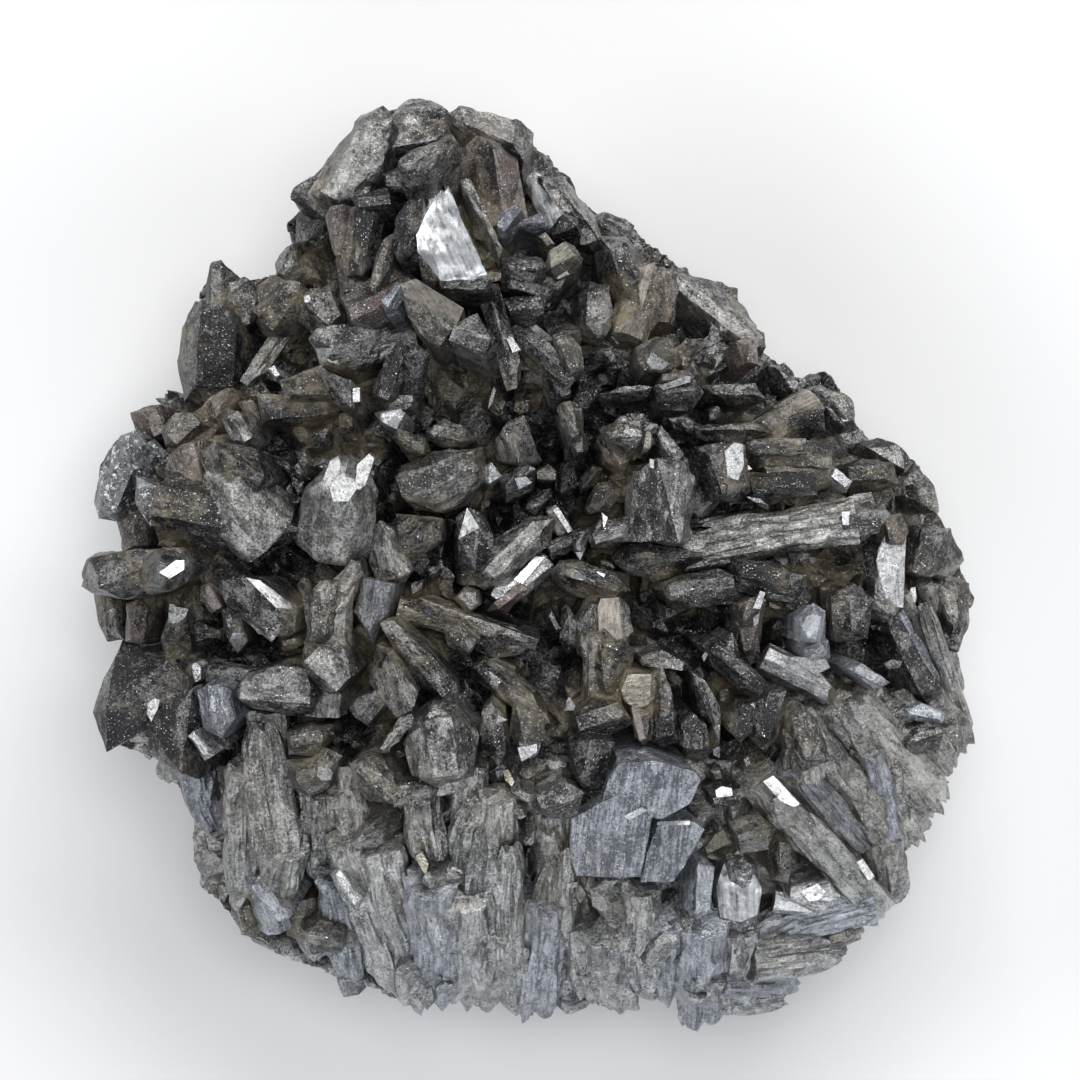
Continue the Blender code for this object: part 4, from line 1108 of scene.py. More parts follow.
        0.5: 932 585 3, 950 578 2.8, 970 585 1.6, 970 620 1.4, 960 650 1.4, 942 640 2.4;
        0.7: 868 600 4, 884 600 4.4, 896 608 4, 884 622 3.6, 870 615 3.6;
        0.75: 420 712 4.6, 435 702 5, 455 706 5, 478 735 4.6, 472 770 3.8, 440 780 3.6,
            415 770 3.8, 408 740 4;
        0.9: 380 745 4.2, 400 718 5, 412 712 5, 415 720 4.8, 392 748 4.4, 384 750 4;
        0.5: 355 762 4.4, 385 755 5, 402 775 4.6, 398 800 4, 368 796 4;
        0.6: 395 785 4.4, 425 775 5, 440 785 4.6, 430 800 4.2, 398 802 4;
        0.7: 540 790 5, 562 778 5.4, 580 790 5, 575 812 4.4, 550 815 4.4, 540 805 4.4;
        0.4: 785 715 5, 800 705 5.4, 815 725 5.2, 825 755 4.6, 800 765 4.4, 778 740 4.6;
        0.6: 600 560 3, 615 566 3, 612 572 2.8, 600 568 2.6;
        0.4: 895 735 3.6, 925 720 4, 942 728 3.4, 935 750 2.8, 910 755 2.8;
        0.4: 300 925 2, 320 920 2.8, 345 925 2.6, 340 950 1.4, 312 952 1;
        0.5: 235 908 1, 250 903 1.8, 262 920 1.6, 255 938 0.8, 240 936 0.5;
    """,
    "brown_tarnish": """
        0.3: 460 160 5, 478 142 6, 500 150 6.2, 516 172 5.8, 513 212 6, 498 240 5, 486 236 4.6,
            466 200 4.6;
        0.3: 328 218 4, 345 208 5, 360 212 6.2, 358 262 6, 347 268 5, 332 240 4.4;
        0.4: 342 282 4, 372 278 4.4, 378 295 4, 360 305 3.6, 346 298 3.6;
        0.3: 345 300 4, 370 300 4.5, 400 280 4.5, 410 292 4.2, 400 315 4, 375 328 3.6,
            352 322 3.6;
        0.5: 656 275 4.4, 672 270 4.6, 678 290 4.4, 672 325 3.8, 660 330 3.6, 655 305 4.2;
        0.9: 736 343 4, 754 340 4.2, 756 365 3.6, 740 366 3.6;
        0.5: 600 432 3.6, 615 442 4, 630 455 3.8, 622 475 3, 605 462 2.8;
        0.4: 130 413 2, 158 405 3, 165 425 3.5, 160 442 2.5, 138 440 2;
        0.4: 172 460 4, 185 448 4.6, 205 442 4.6, 214 478 4.8, 208 502 4, 185 500 3.4;
        0.4: 128 605 3, 140 600 3.8, 158 598 3.5, 157 640 3, 138 643 3.4, 126 640 2.5;
        0.9: 203 586 3, 212 583 3.4, 222 597 3.6, 226 608 2.8, 214 612 2.8, 203 600 2.6;
        0.4: 160 545 2, 172 520 3, 186 508 3.2, 200 530 3, 185 548 2;
        0.2: 115 518 1, 138 508 2, 150 525 2.5, 145 548 2, 122 550 1;
        0.9: 489 610 3.6, 500 595 4.4, 520 583 4.6, 527 590 4.2, 508 612 3.4;
        0.8: 632 705 4.6, 648 712 4.8, 650 735 4, 642 741 3.6, 634 728 3.8;
        0.9: 503 686 4.4, 510 684 4.8, 530 700 4.6, 524 708 4, 508 700 4;
        0.4: 882 518 4.2, 898 515 4.6, 906 530 4.2, 902 545 3.6, 882 542 3.6;
        0.5: 736 605 4.4, 748 598 5, 756 602 5, 752 622 4.4, 738 622 4;
        0.2: 735 624 4, 755 622 4.4, 756 650 3.4, 745 656 3.2, 736 645 3.4;
        0.5: 222 800 1.6, 238 745 2.8, 248 762 3, 250 825 2, 225 832 1.2;
        0.5: 283 918 2, 298 913 2.8, 308 925 2.6, 300 940 1.8, 286 936 1.6;
    """,
    "warm_bright_facet": """
        0.4 258 262 dull: 258 285 3, 272 275 3.6, 285 280 3.6, 278 295 4, 262 310 3.6,
            252 300 3.4;
        0.4: 296 262 3.4, 306 252 3.6, 318 258 4, 330 285 4, 322 292 3.6, 308 282 3.4,
            298 275 3.2;
        0.6: 377 262 4, 384 245 4.4, 396 238 4.4, 398 252 4.2, 390 272 4.4, 380 300 4,
            372 290 3.8;
        0.7: 310 195 2, 318 182 3, 328 182 3.6, 330 198 3.4, 318 202 3;
        0.6 440 306 dull: 402 288 5.6, 418 283 6.6, 465 312 6.6, 458 328 6, 440 350 4, 425 340 4,
            410 320 4.2, 407 300 5.8;
        0.3 218 404 dull: 200 411 3.6, 212 398 4.8, 228 389 5, 236 389 4.8, 238 396 4.4,
            218 418 4.4, 205 419 4, 222 432 2.6, 204 434 2.4, 234 404 3.2;
        0.3 560 258 gold: 546 266 5, 550 254 5.8, 565 245 6, 574 249 5.6, 574 259 5.4,
            551 271 5.2, 582 262 3.8, 576 275 3.6, 556 285 3.4, 545 276 3.6;
        0.3 643 288 dull: 625 285 5, 637 270 6, 654 264 6, 662 285 5, 655 305 5, 640 316 5.6,
            630 305 5.4, 610 325 3.6, 640 340 3.4, 662 318 3.6;
        0.7: 538 240 5, 545 236 5.4, 554 247 5, 546 252 4.6;
        0.5: 636 350 3.4, 655 340 4, 671 343 3.8, 672 368 3.4, 660 373 3.8, 648 372 3.6,
            640 365 3;
        0.7: 662 376 3.6, 685 372 3.8, 692 380 3.6, 660 385 3.6;
        0.5: 553 338 3.4, 566 335 4, 580 350 3.8, 582 370 3.2, 570 376 3, 560 360 3.4;
        0.6: 636 435 4, 648 430 4.2, 652 445 3.8, 640 455 3.6;
        0.6: 534 470 3.6, 548 465 4, 556 472 3.8, 545 484 3.4;
        0.6 796 408 dull: 772 408 4, 800 390 4.8, 808 392 4.8, 818 402 4.8, 820 410 4.6,
            792 428 4.2, 780 420 4.4, 812 425 3;
        0.5 633 690 gold: 620 688 5.4, 627 672 6, 650 672 6, 658 690 5, 648 702 5.2, 636 706 5,
            624 700 5;
        0.9 500 672 silver: 482 662 5, 495 661 5.6, 515 672 5.6, 504 684 5.2, 498 682 5;
        0.5: 515 700 3.6, 540 712 4, 545 735 3.6, 520 745 3.4, 510 730 3.4;
        0.5: 790 962 1.6, 805 955 2, 803 970 1, 790 974 0.8;
        0.6: 820 938 2, 850 926 2.6, 862 932 1.8, 838 950 1.2;
    """,
    "blue_grey_cleavage": """
        0.2: 500 218 6, 516 210 6, 524 222 5, 515 236 4.4, 497 238 4.6;
        0.1: 508 226 5, 540 218 5, 547 230 4.4, 535 236 4, 512 236 4;
        0.4: 384 303 4.8, 399 285 5, 408 291 4.8, 400 312 4.4, 388 315 4.4;
        0.1: 365 580 4, 395 585 4.4, 390 610 3.8, 375 640 3, 358 610 3.6;
        0.5: 247 880 2, 262 877 2.8, 290 915 2.6, 275 918 2, 268 912 1.6;
        0.7: 418 903 3, 432 895 3.5, 449 930 3.2, 445 957 2.6, 434 950 2.4;
        0.4: 520 741 5.4, 540 740 5.4, 538 750 5, 522 758 4.6;
        0.5: 802 640 5, 824 640 5, 826 655 4.2, 812 668 4, 800 655 4.2;
        0.9: 796 640 5.6, 797 618 5.8, 810 607 6, 820 615 5.8, 816 641 5.6;
        0.5: 845 668 4, 858 662 4.6, 884 680 4.2, 866 686 3.6;
        0.6: 905 708 4, 920 703 4.6, 942 712 4.2, 938 722 3.6, 908 718 3.6;
        0.6: 683 863 4.2, 700 858 5, 712 866 4.8, 708 905 4, 696 915 3.6, 684 905 3.8;
        0.2: 203 690 4, 218 680 4.6, 234 690 4.6, 238 715 4, 226 735 3.4, 208 725 3.6;
    """,
    "bright_cleavage": """
        0.9 all: 438 200 7, 452 198 7.4, 470 240 7.4, 488 278 6.4, 478 283 6, 442 284 6,
            436 262 6.6, 420 256 5.4, 419 240 5.6, 428 220 6.2;
        0.9 all: 533 186 6, 541 188 6.4, 563 219 6, 550 234 5.4, 546 228 5.4, 532 205 5.6;
        0.4: 267 370 4, 276 366 4.6, 282 376 4.6, 277 382 4;
        0.4: 378 415 4.4, 400 408 5, 406 415 4.8, 398 430 4.6, 384 425 4;
        0.3: 480 470 3.8, 492 464 4.4, 500 476 4.2, 490 486 3.6, 484 482 3.6;
        0.2: 832 410 4.4, 840 406 4.8, 848 418 4.6, 840 427 4.2;
        0.2: 825 478 4.2, 833 470 4.8, 848 482 4.6, 842 492 4;
        0.4: 672 530 4.4, 684 524 4.8, 690 532 4.6, 680 543 4, 672 538 4;
        0.3: 192 735 4.4, 198 730 4.8, 216 752 4.2, 208 758 3.8;
        0.3: 188 663 4.2, 202 666 4.6, 203 680 4.2, 194 684 3.8;
        0.2: 332 870 3, 342 866 3.8, 364 894 3.6, 358 908 2.8, 345 897 2.8;
        0.3: 785 885 4, 825 880 4.4, 838 895 4, 820 912 3.4, 790 900 3.4;
    """,
    "speckled_crust": """
        0.6: 138 478 3, 158 488 3.5, 160 510 3, 158 525 2.5, 148 520 2, 136 500 2.5;
        0.6: 93 500 1.4, 100 465 2.6, 118 438 3, 136 430 3.4, 150 442 3.4, 140 490 3.4, 118 518 2,
            98 515 1.2;
        0.9 all: 722 862 5, 738 846 5.6, 745 858 5.6, 760 885 5, 756 912 4.4, 740 920 4,
            720 915 4, 715 885 4.6;
    """,
}
# bright flat facets laid on whatever is under them: "metal: x y, x y, ...;"
CHIPS = """
    silver: 172 603, 178 604, 177 621, 171 621;
    silver: 166 572, 182 560, 190 560, 190 569, 176 578;
    silver: 327 480, 334 462, 342 458, 346 470, 340 485, 331 490;
    silver: 333 486, 345 476, 357 480, 360 490, 352 502, 337 502;
    silver: 360 466, 372 455, 377 460, 368 486, 362 491, 358 488;
    silver: 321 764, 330 762, 335 770, 333 777, 325 778, 320 773;
    silver: 151 702, 158 697, 163 699, 161 708, 155 720, 151 713;
    silver: 355 390, 362 389, 362 403, 355 404;
    silver: 305 298, 311 296, 312 303, 306 304;
    silver: 393 419, 400 417, 398 430, 390 426;
    silver: 645 364, 650 355, 668 366, 660 372, 650 371;
    silver: 657 388, 662 392, 688 384, 690 379, 685 378;
    silver: 722 453, 731 444, 740 446, 741 466, 735 481, 725 478;
    silver: 515 479, 526 477, 532 483, 519 490;
    silver: 514 579, 520 574, 536 556, 545 557, 532 572, 522 584;
    silver: 601 513, 607 518, 603 528;
    silver: 575 552, 583 552, 580 560;
    silver: 595 571, 605 574, 603 577;
    silver: 588 577, 595 582, 590 581;
    silver: 648 460, 652 461, 652 470, 648 468;
    silver: 874 560, 880 543, 900 548, 899 558, 884 600, 878 580;
    silver: 910 588, 915 587, 916 598, 912 612, 909 605;
    silver: 934 646, 938 648, 955 690, 952 691;
    silver: 757 590, 762 592, 757 608, 750 607;
    silver: 750 617, 756 612, 755 622, 751 625;
    gold: 767 601, 778 607, 775 609, 768 606;
    silver: 786 656, 791 655, 812 664, 822 658, 826 666, 812 673;
    silver: 882 663, 890 659, 900 661, 897 667, 886 668;
    silver: 711 747, 718 744, 718 756, 712 753;
    silver: 742 757, 746 754, 748 762, 744 764;
    silver: 713 787, 719 783, 729 785, 730 792, 714 794;
    silver: 622 812, 640 803, 646 806, 628 816;
    gold: 704 846, 714 832, 722 828, 730 840, 718 846, 706 852;
    silver: 566 700, 569 695, 573 704, 577 708, 565 709;
    gold: 416 840, 424 838, 427 844, 420 847;
    gold: 417 852, 424 848, 430 860, 427 871, 421 862;
    gold: 503 768, 508 766, 515 778, 512 783, 506 777;
    silver: 518 744, 537 740, 537 748, 522 757;
    silver: 497 720, 499 712, 508 717;
    silver: 760 778, 770 772, 796 800, 790 803, 778 798;
    silver: 855 862, 862 858, 874 876, 868 880;
    silver: 656 818, 688 817, 688 821, 655 821;
    silver: 838 512, 846 512, 845 525, 839 525;
    silver: 744 497, 758 499, 764 505, 752 502;
    silver: 507 341, 512 339, 521 352, 513 355;
    silver: 521 320, 530 322, 553 340, 549 343, 536 336;
    silver: 488 410, 491 395, 494 387, 496 391, 493 402;
    silver: 747 702, 751 700, 751 704;
    gold: 665 671, 672 669, 682 680, 676 684, 667 677;
    silver: 800 890, 816 882, 824 890, 818 898, 808 900;
    silver: 566 881, 577 879, 577 884, 568 885;
    silver: 604 878, 618 877, 612 882;
    silver: 700 655, 703 650, 706 652, 702 660;
    silver: 610 338, 613 339, 619 345, 617 346;
    silver: 556 281, 566 274, 569 277, 558 282;
    silver: 553 510, 558 507, 572 530, 568 533;
    silver: 576 975, 588 977, 586 980;
"""
# fibrous columns: "tone coat: root, foot, width;" in pixels
COLUMNS = """
    0.45 grey_fibres: 252 770, 240 905, 44;
    0.65 grey_fibres: 285 845, 280 915, 46;
    0.35 grey_fibres: 322 790, 318 880, 42;
    0.5 grey_fibres: 356 770, 358 850, 38;
    0.7 grey_fibres: 350 845, 398 995, 46;
    0.8 grey_fibres: 385 850, 425 1000, 44;
    0.4 blue_grey_cleavage: 335 880, 348 978, 36;
    0.3 grey_fibres: 305 905, 320 962, 34;
    0.7 blue_grey_cleavage: 432 885, 428 1016, 50;
    0.8 grey_fibres: 465 900, 462 1008, 46;
    0.55 grey_fibres: 500 930, 490 1006, 40;
    0.6 blue_grey_cleavage: 545 900, 532 1018, 50;
    0.5 grey_fibres: 512 950, 520 1016, 30;
    0.55 grey_fibres: 580 925, 586 1002, 36;
    0.5 grey_fibres: 610 935, 612 1006, 46;
    0.6 grey_fibres: 640 890, 640 985, 36;
    0.55 blue_grey_cleavage: 668 920, 672 998, 42;
    0.6 blue_grey_cleavage: 702 925, 700 1020, 50;
    0.65 grey_fibres: 738 930, 738 1014, 42;
    0.6 blue_grey_cleavage: 725 985, 806 990, 26;
    0.6 grey_fibres: 720 1005, 790 1006, 22;
    0.6 blue_grey_cleavage: 862 905, 720 950, 44;
    0.7 grey_fibres: 850 930, 740 968, 34;
    0.35 grey_fibres: 800 725, 898 850, 36;
    0.75 grey_fibres: 818 712, 915 842, 34;
    0.4 grey_fibres: 838 708, 930 825, 36;
    0.8 grey_fibres: 858 702, 942 802, 32;
    0.5 blue_grey_cleavage: 872 755, 902 868, 26;
    0.3 grey_fibres: 884 738, 914 846, 28;
    0.55 grey_fibres: 900 705, 952 780, 32;
    0.35 grey_fibres: 925 690, 972 745, 30;
    0.3 blue_grey_cleavage: 790 765, 868 845, 34;
    0.45 grey_fibres: 880 840, 884 905, 40;
    0.6 grey_fibres: 905 600, 948 700, 14;
    0.5 grey_fibres: 926 588, 962 695, 16;
    0.7 grey_fibres: 936 645, 974 735, 14;
    0.4 blue_grey_cleavage: 888 620, 932 690, 30;
    0.6 grey_fibres: 470 770, 466 955, 34;
    0.7 grey_fibres: 500 800, 498 940, 36;
    0.7 grey_fibres: 555 812, 556 930, 36;
    0.5 grey_fibres: 425 800, 430 860, 36;
    0.9 grey_fibres: 270 715, 272 850, 40;
    0.35 blue_grey_cleavage: 198 740, 205 830, 34;
    0.3 grey_fibres: 178 720, 170 782, 34;
    0.8 grey_fibres: 760 780, 880 912, 40;
    0.6 grey_fibres: 860 515, 640 560, 40;
"""

# the three upright blades, as rows like those of GEMS
BLADES = """
    0.55: 600 802 5, 606 778 6, 618 760 7, 652 757 7.4, 692 768 6.8, 697 776 6.4, 688 800 5,
        660 815 4.8, 648 812 5;
    0.35: 571 815 5, 600 798 6.6, 625 788 6.8, 650 800 6, 648 830 4.8, 640 872 3.6, 575 872 3.4,
        570 850 3.8;
    0.45: 656 822 5.6, 692 818 5.6, 703 826 4.8, 690 850 4.2, 672 878 3.4, 640 878 3.4,
        645 850 4.4;
"""
FOOT_DROP = 6.0 * MM             # how far below its top a gem is carried down
FOOT_SHARE = 0.86                # how wide its foot is, against its top
FOOT_LEAN = 0.55                 # how far a gem leans back to the focus, against a straight line
MESH_STEP = 0.62 * MM            # longest edge of a gem's mesh near its top
FOOT_STEP = 1.7 * MM             # and further down, where its neighbours hide it
FINE_DEPTH = 2.6 * MM
GEM_RISE = 0.85                  # share of the listed heights that is used
GEM_COAT = {"grey_fibres": "grey_crystal"}
GEM_TONE = {"grey_fibres": 0.60, "brown_tarnish": 0.7, "warm_bright_facet": 0.8}
GEM_WEAR = {"grey_fibres": 2.2, "brown_tarnish": 1.5, "dark_crystal": 1.2}
GEM_SWELL = 1.08                 # a dull gem's size against its listed corners
BLADE_WAY = (0.12, 1.0)          # along the striations of the upright blades
CHIP_SLOPE = 0.35                # steepest that a bright chip lies
CHIP_RISE = 0.20 * MM            # how far it stands over what carries it
CHIP_LIFT = 1.8 * MM             # and at most over the middle height of that
CHIP_DEPTH = 3.4 * MM            # how far down its sides go
DRUSE_PITCH = 2.6                # mm between the small crystals in the gaps
RIM_COUNT = 120                  # splinters round the side wall
CEILING = cad_box[1][2] + 0.9 * MM


def rows_of(text):
    """The rows of a list: the words before each colon, and the corners after it."""
    lines = [line for line in text.splitlines() if "#" not in line]
    for entry in " ".join(lines).split(";"):
        head, _, corners = entry.partition(":")
        if corners:
            yield head.split(), corners_of(corners)


def corners_of(row):
    """The numbers of a row of corners, one list for each corner."""
    return [[float(value) for value in corner.split()] for corner in row.split(",")]


def crystal_top(x, y):
    """Height of the highest CAD crystal at a place, or none."""
    place, _, _, _ = crystal_tree.ray_cast(Vector((x, y, SKY)), DOWN)
    return -1.0 if place is None else place.z


def principal_way(spots, middle):
    """The longest way across some corners, and how far they reach along and across it."""
    flat = np.array([(spot - middle).xy for spot in spots])
    _, ways = np.linalg.eigh(flat.T @ flat)
    way = ways[:, 1] if ways[1, 1] >= 0 else -ways[:, 1]
    side = np.array([-way[1], way[0]])
    return way, side, np.abs(flat @ way).max(), np.abs(flat @ side).max()


def ridge_of(spots, middle, seed):
    """Raised points in one or two lines along a crystal: its top edge, or its top face."""
    rng = np.random.default_rng(seed)
    way, side, reach, half = principal_way(spots, middle)
    lift = half * rng.uniform(0.35, 0.65)
    shift = rng.uniform(-0.30, 0.30)
    lines = [shift] if rng.random() < 0.35 else [shift - 0.32, shift + 0.32]
    slope = rng.uniform(-0.2, 0.2) * half
    ends = reach * rng.uniform(0.5, 0.8, 2)
    points = []
    for line in lines:
        for end in (-ends[0], ends[1]):
            flat = way * end + side * half * line
            height = middle.z + lift + slope * (line - shift)
            points.append(Vector((middle.x + flat[0], middle.y + flat[1], height)))
    return points


def facet_tone(normal, seed):
    """A facet's own tone, from -1 to 1, by the way that it faces."""
    cell = np.round(np.array(normal) * 6.0) + seed
    return float(hashed(cell[None, :].astype(np.int64), 41)[0]) * 2.0 - 1.0


def gem_shape(row, seed, plain, grain_way=None):
    """The closed convex solid over some corners, and the frame along its longest way."""
    rng = np.random.default_rng(seed + 7)
    rise = max(corner[2] for corner in row) * GEM_RISE * MM
    spots = [Vector((*at(px, py), height * GEM_RISE * MM)) for px, py, height in row]
    middle = sum(spots, Vector()) / len(spots)
    way, _, _, half = principal_way(spots, middle)
    way = way if grain_way is None else grain_way
    if plain:
        tilt = Vector((*rng.uniform(-0.22, 0.22, 2), 0.0))
        spots = [
            middle + (spot - middle) * GEM_SWELL + Vector((0, 0, (spot - middle).dot(tilt)))
            for spot in spots]
        near = min((spot - middle).xy.length for spot in spots)
        if near > 0.5 * half:
            spots = [spot - Vector((0, 0, 0.25 * half)) for spot in spots]
            spots += ridge_of(spots, middle, seed)
    base = max(ground(middle.x, middle.y), crystal_top(middle.x, middle.y) - rise + 0.7 * MM)
    lean = (middle - FOCUS) * FOOT_LEAN / (base - FOCUS.z)
    shape = bmesh.new()
    for spot in spots:
        top = min(base + spot.z, CEILING - 0.05 * (rise - spot.z))
        low = middle.lerp(spot, FOOT_SHARE)
        foot = min(top - FOOT_DROP, max(ground(low.x, low.y) - 4.0 * MM, top - 1.8 * FOOT_DROP))
        foot = max(foot, 0.3 * MM)
        low = low - lean * (top - foot)
        shape.verts.new((spot.x, spot.y, top))
        shape.verts.new((low.x, low.y, foot))
    made = bmesh.ops.convex_hull(shape, input=shape.verts[:])
    spare = {item for key in ("geom_interior", "geom_unused") for item in made[key]}
    bmesh.ops.delete(
        shape, geom=[item for item in spare if isinstance(item, bmesh.types.BMVert)],
        context="VERTS")
    bmesh.ops.dissolve_limit(
        shape, angle_limit=math.radians(5.0), verts=shape.verts, edges=shape.edges)
    layer = shape.faces.layers.float.new("facet")
    shape.normal_update()
    for face in shape.faces:
        face[layer] = facet_tone(face.normal, seed)
    bmesh.ops.triangulate(shape, faces=shape.faces)
    shape.normal_update()
    centre = Vector((middle.x, middle.y, base))
    matrix = standing(centre, Vector((way[0], way[1], 0.25)))
    return shape, matrix


def mark_gleam(shape, px, py):
    """Mark the upward facet nearest to a pixel, with the facets in the same plane."""
    x, y = at(px, py)
    shape.normal_update()
    upward = [face for face in shape.faces if face.normal.z > 0.3]
    best = min(upward, key=lambda face: (face.calc_center_median().xy - Vector((x, y))).length)
    for face in upward:
        if face.normal.dot(best.normal) > 0.985:
            face.material_index = 1


def finer(shape, step, coarse, depth):
    """Split edges until none is longer than a step, or than a coarse step further down."""
    level = max(vertex.co.z for vertex in shape.verts) - depth
    for _ in range(5):
        long = [
            edge for edge in shape.edges
            if edge.calc_length() > (
                step if max(vertex.co.z for vertex in edge.verts) > level else coarse)]
        if not long:
            return
        bmesh.ops.subdivide_edges(shape, edges=long, cuts=1)
        bmesh.ops.triangulate(
            shape, faces=[face for face in shape.faces if len(face.verts) > 3])


def weathered(points, normals, matrix, seed, amount):
    """Points pushed along their normals by lumps, grooves along the crystal and grit."""
    local = np.array(Matrix(matrix).inverted())
    grain = (points @ local[:3, :3].T + local[:3, 3]) / MM
    shift = np.array([seed * 1.7 % 91.0, seed * 2.3 % 83.0, seed * 0.9 % 79.0])
    lumps = smooth_noise(grain / 2.1 + shift, 31)
    grooves = smooth_noise(grain / np.array([0.9, 0.9, 6.0]) + shift, 32)
    grit = smooth_noise(grain / 0.7 + shift, 33)
    push = 0.10 * lumps + 0.05 * grooves + 0.09 * grit
    return points + normals * (push * amount * MM)[:, None]


def add_gem(heap, row, seed, tone, spot, amount=1.0, grain_way=None):
    """Take in one drawn crystal. spot is [], ["all"] or [x, y, metal], as in its row."""
    shape, matrix = gem_shape(row, seed, not spot and grain_way is None, grain_way)
    gleam_all = spot == ["all"]
    if spot and not gleam_all:
        mark_gleam(shape, float(spot[0]), float(spot[1]))
    elif gleam_all:
        for face in shape.faces:
            face.material_index = 1 if face.normal.z > 0.35 else 0
    finer(shape, MESH_STEP, FOOT_STEP, FINE_DEPTH)
    shape.normal_update()
    shape.verts.index_update()
    points = np.array([vertex.co for vertex in shape.verts])
    normals = np.array([vertex.normal for vertex in shape.verts])
    bright = np.array([
        any(face.material_index for face in vertex.link_faces) for vertex in shape.verts])
    rough = np.where(bright & (not gleam_all), 0.25, 1.0)
    moved = weathered(points, normals * rough[:, None], matrix, seed, amount)
    moved[:, 2] = np.clip(moved[:, 2], 0.1 * MM, CEILING)
    faces = [[vertex.index for vertex in face.verts] for face in shape.faces]
    marks = [face.material_index for face in shape.faces]
    layer = shape.faces.layers.float["facet"]
    facets = [face[layer] for face in shape.faces]
    shape.free()
    local = np.array(matrix.inverted())
    heap.add(
        moved @ local[:3, :3].T + local[:3, 3], faces, marks, matrix, tone, seed, facets)


def drawn_gems():
    """Every crystal of the list, gathered by coat and by the metal of its bright facets."""
    metals = {"silver": silver, "gold": gold, "dull": dull, "satin": satin}
    number = 0
    for coat, text in GEMS.items():
        heaps = {}
        for (tone, *spot), row in rows_of(text):
            metal = spot[2] if len(spot) == 3 else "satin" if spot else "silver"
            if metal not in heaps:
                heaps[metal] = Heap("_".join(("gems", coat, metal)), coat)
            add_gem(heaps[metal], row, SEED + number, float(tone) * GEM_TONE.get(coat, 1.0),
                    spot, GEM_WEAR.get(coat, 1.0))
            number += 1
        for metal, heap in heaps.items():
            stone_coat = coats[GEM_COAT.get(coat, coat)]
            BUILT.append(heap.build([stone_coat, metals[metal]], smooth=True))


def blades():
    heap = Heap("upright_blades", "blue_grey_cleavage")
    for number, ((tone,), row) in enumerate(rows_of(BLADES)):
        add_gem(heap, row, SEED + 400 + number, float(tone), [], 1.0, BLADE_WAY)
    piece = heap.build([coats["blue_grey_cleavage"], silver], smooth=True)
    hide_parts("blue_fan_blades")
    BUILT.append(piece)


def columns():
    """The long fibrous columns of the lower edge and the right, torn at their outer ends."""
    heaps = {
        "grey_fibres": Heap("fibrous_columns", "grey_fibres"),
        "blue_grey_cleavage": Heap("bluish_columns", "blue_grey_cleavage")}
    for number, ((tone, coat), (root, foot, (width,))) in enumerate(rows_of(COLUMNS)):
        low = Vector((*at(*root), 0.0))
        high = Vector((*at(*foot), 0.0))
        low.z = max(ground(low.x, low.y), crystal_top(low.x, low.y) - 1.0 * MM) - 0.3 * MM
        high.z = ground(high.x, high.y) - 0.4 * MM
        axis = high - low
        wide = width * PIXEL
        splinter(heaps[coat], standing(low - axis * 0.06, axis), axis.length * 1.08, wide,
                 min(wide * 0.9, 4.5 * MM), SEED + 600 + number, float(tone), ragged=0.13,
                 pitch=0.20, rise=0.6, layers=0.16)
    for coat, heap in heaps.items():
        BUILT.append(heap.build([coats[coat], silver], smooth=True))


drawn_gems()
blades()
columns()


def chips():
    """Small clean cleavage facets, each laid on what is under it and cut in like a step."""
    tree = tree_of(BUILT)
    for metal, coat in ((silver, "bright_cleavage"), (gold, "warm_bright_facet")):
        heap = Heap("cleavage_facets_" + coat, coat)
        for number, ((kind,), row) in enumerate(rows_of(CHIPS)):
            if (kind == "gold") != (metal is gold):
                continue
            spots = [Vector((*at(px, py), 0.0)) for px, py in row]
            middle = sum(spots, Vector()) / len(spots)
            hits = []
            for spot in [middle] + [
                    middle.lerp(spot, share) for share in (0.4, 0.8) for spot in spots]:
                place, _, _, _ = tree.ray_cast(Vector((spot.x, spot.y, SKY)), DOWN)
                hits.append(place if place else Vector((spot.x, spot.y, ground(spot.x, spot.y))))
            heights = np.array([hit.z for hit in hits])
            flat = np.array([(hit.x, hit.y) for hit in hits]) - np.array(middle.xy)
            frame_rows = np.column_stack([flat, np.ones(len(flat))])
            slope = np.linalg.lstsq(frame_rows, heights, rcond=None)[0][:2]
            steep = np.hypot(*slope)
            slope *= min(1.0, CHIP_SLOPE / max(steep, 1e-6))
            rest = heights - flat @ slope
            level = min(float(rest.max()), float(np.median(rest)) + CHIP_LIFT) + CHIP_RISE
            shape = bmesh.new()
            for spot in spots:
                away = np.array((spot - middle).xy)
                top = min(level + float(away @ slope), CEILING)
                shape.verts.new((spot.x, spot.y, top))
                low = middle.lerp(spot, 1.12)
                shape.verts.new((low.x, low.y, max(top - CHIP_DEPTH, 0.3 * MM)))
            bmesh.ops.convex_hull(shape, input=shape.verts[:])
            bmesh.ops.dissolve_limit(
                shape, angle_limit=math.radians(3.0), verts=shape.verts, edges=shape.edges)
            shape.normal_update()
            for face in shape.faces:
                face.material_index = 1 if face.normal.z > 0.75 else 0
            bmesh.ops.triangulate(shape, faces=shape.faces)
            matrix = Matrix.Translation((middle.x, middle.y, level))
            shape.verts.index_update()
            points = np.array([matrix.inverted() @ vertex.co for vertex in shape.verts])
            faces = [[vertex.index for vertex in face.verts] for face in shape.faces]
            marks = [face.material_index for face in shape.faces]
            shape.free()
            heap.add(points, faces, marks, matrix, 0.6, number)
        heap.build([coats[coat], metal])


# ---------------------------------------------------------------- druse that covers the top


def wall_hit(azimuth, height):
    """Where the side of the mass is, seen level from outside."""
    away = Vector((math.cos(azimuth), math.sin(azimuth), 0.0))
    start = away * SKY + Vector((0.0, 0.0, height))
    place, normal, _, _ = mass_tree.ray_cast(start, -away)
    return place, normal


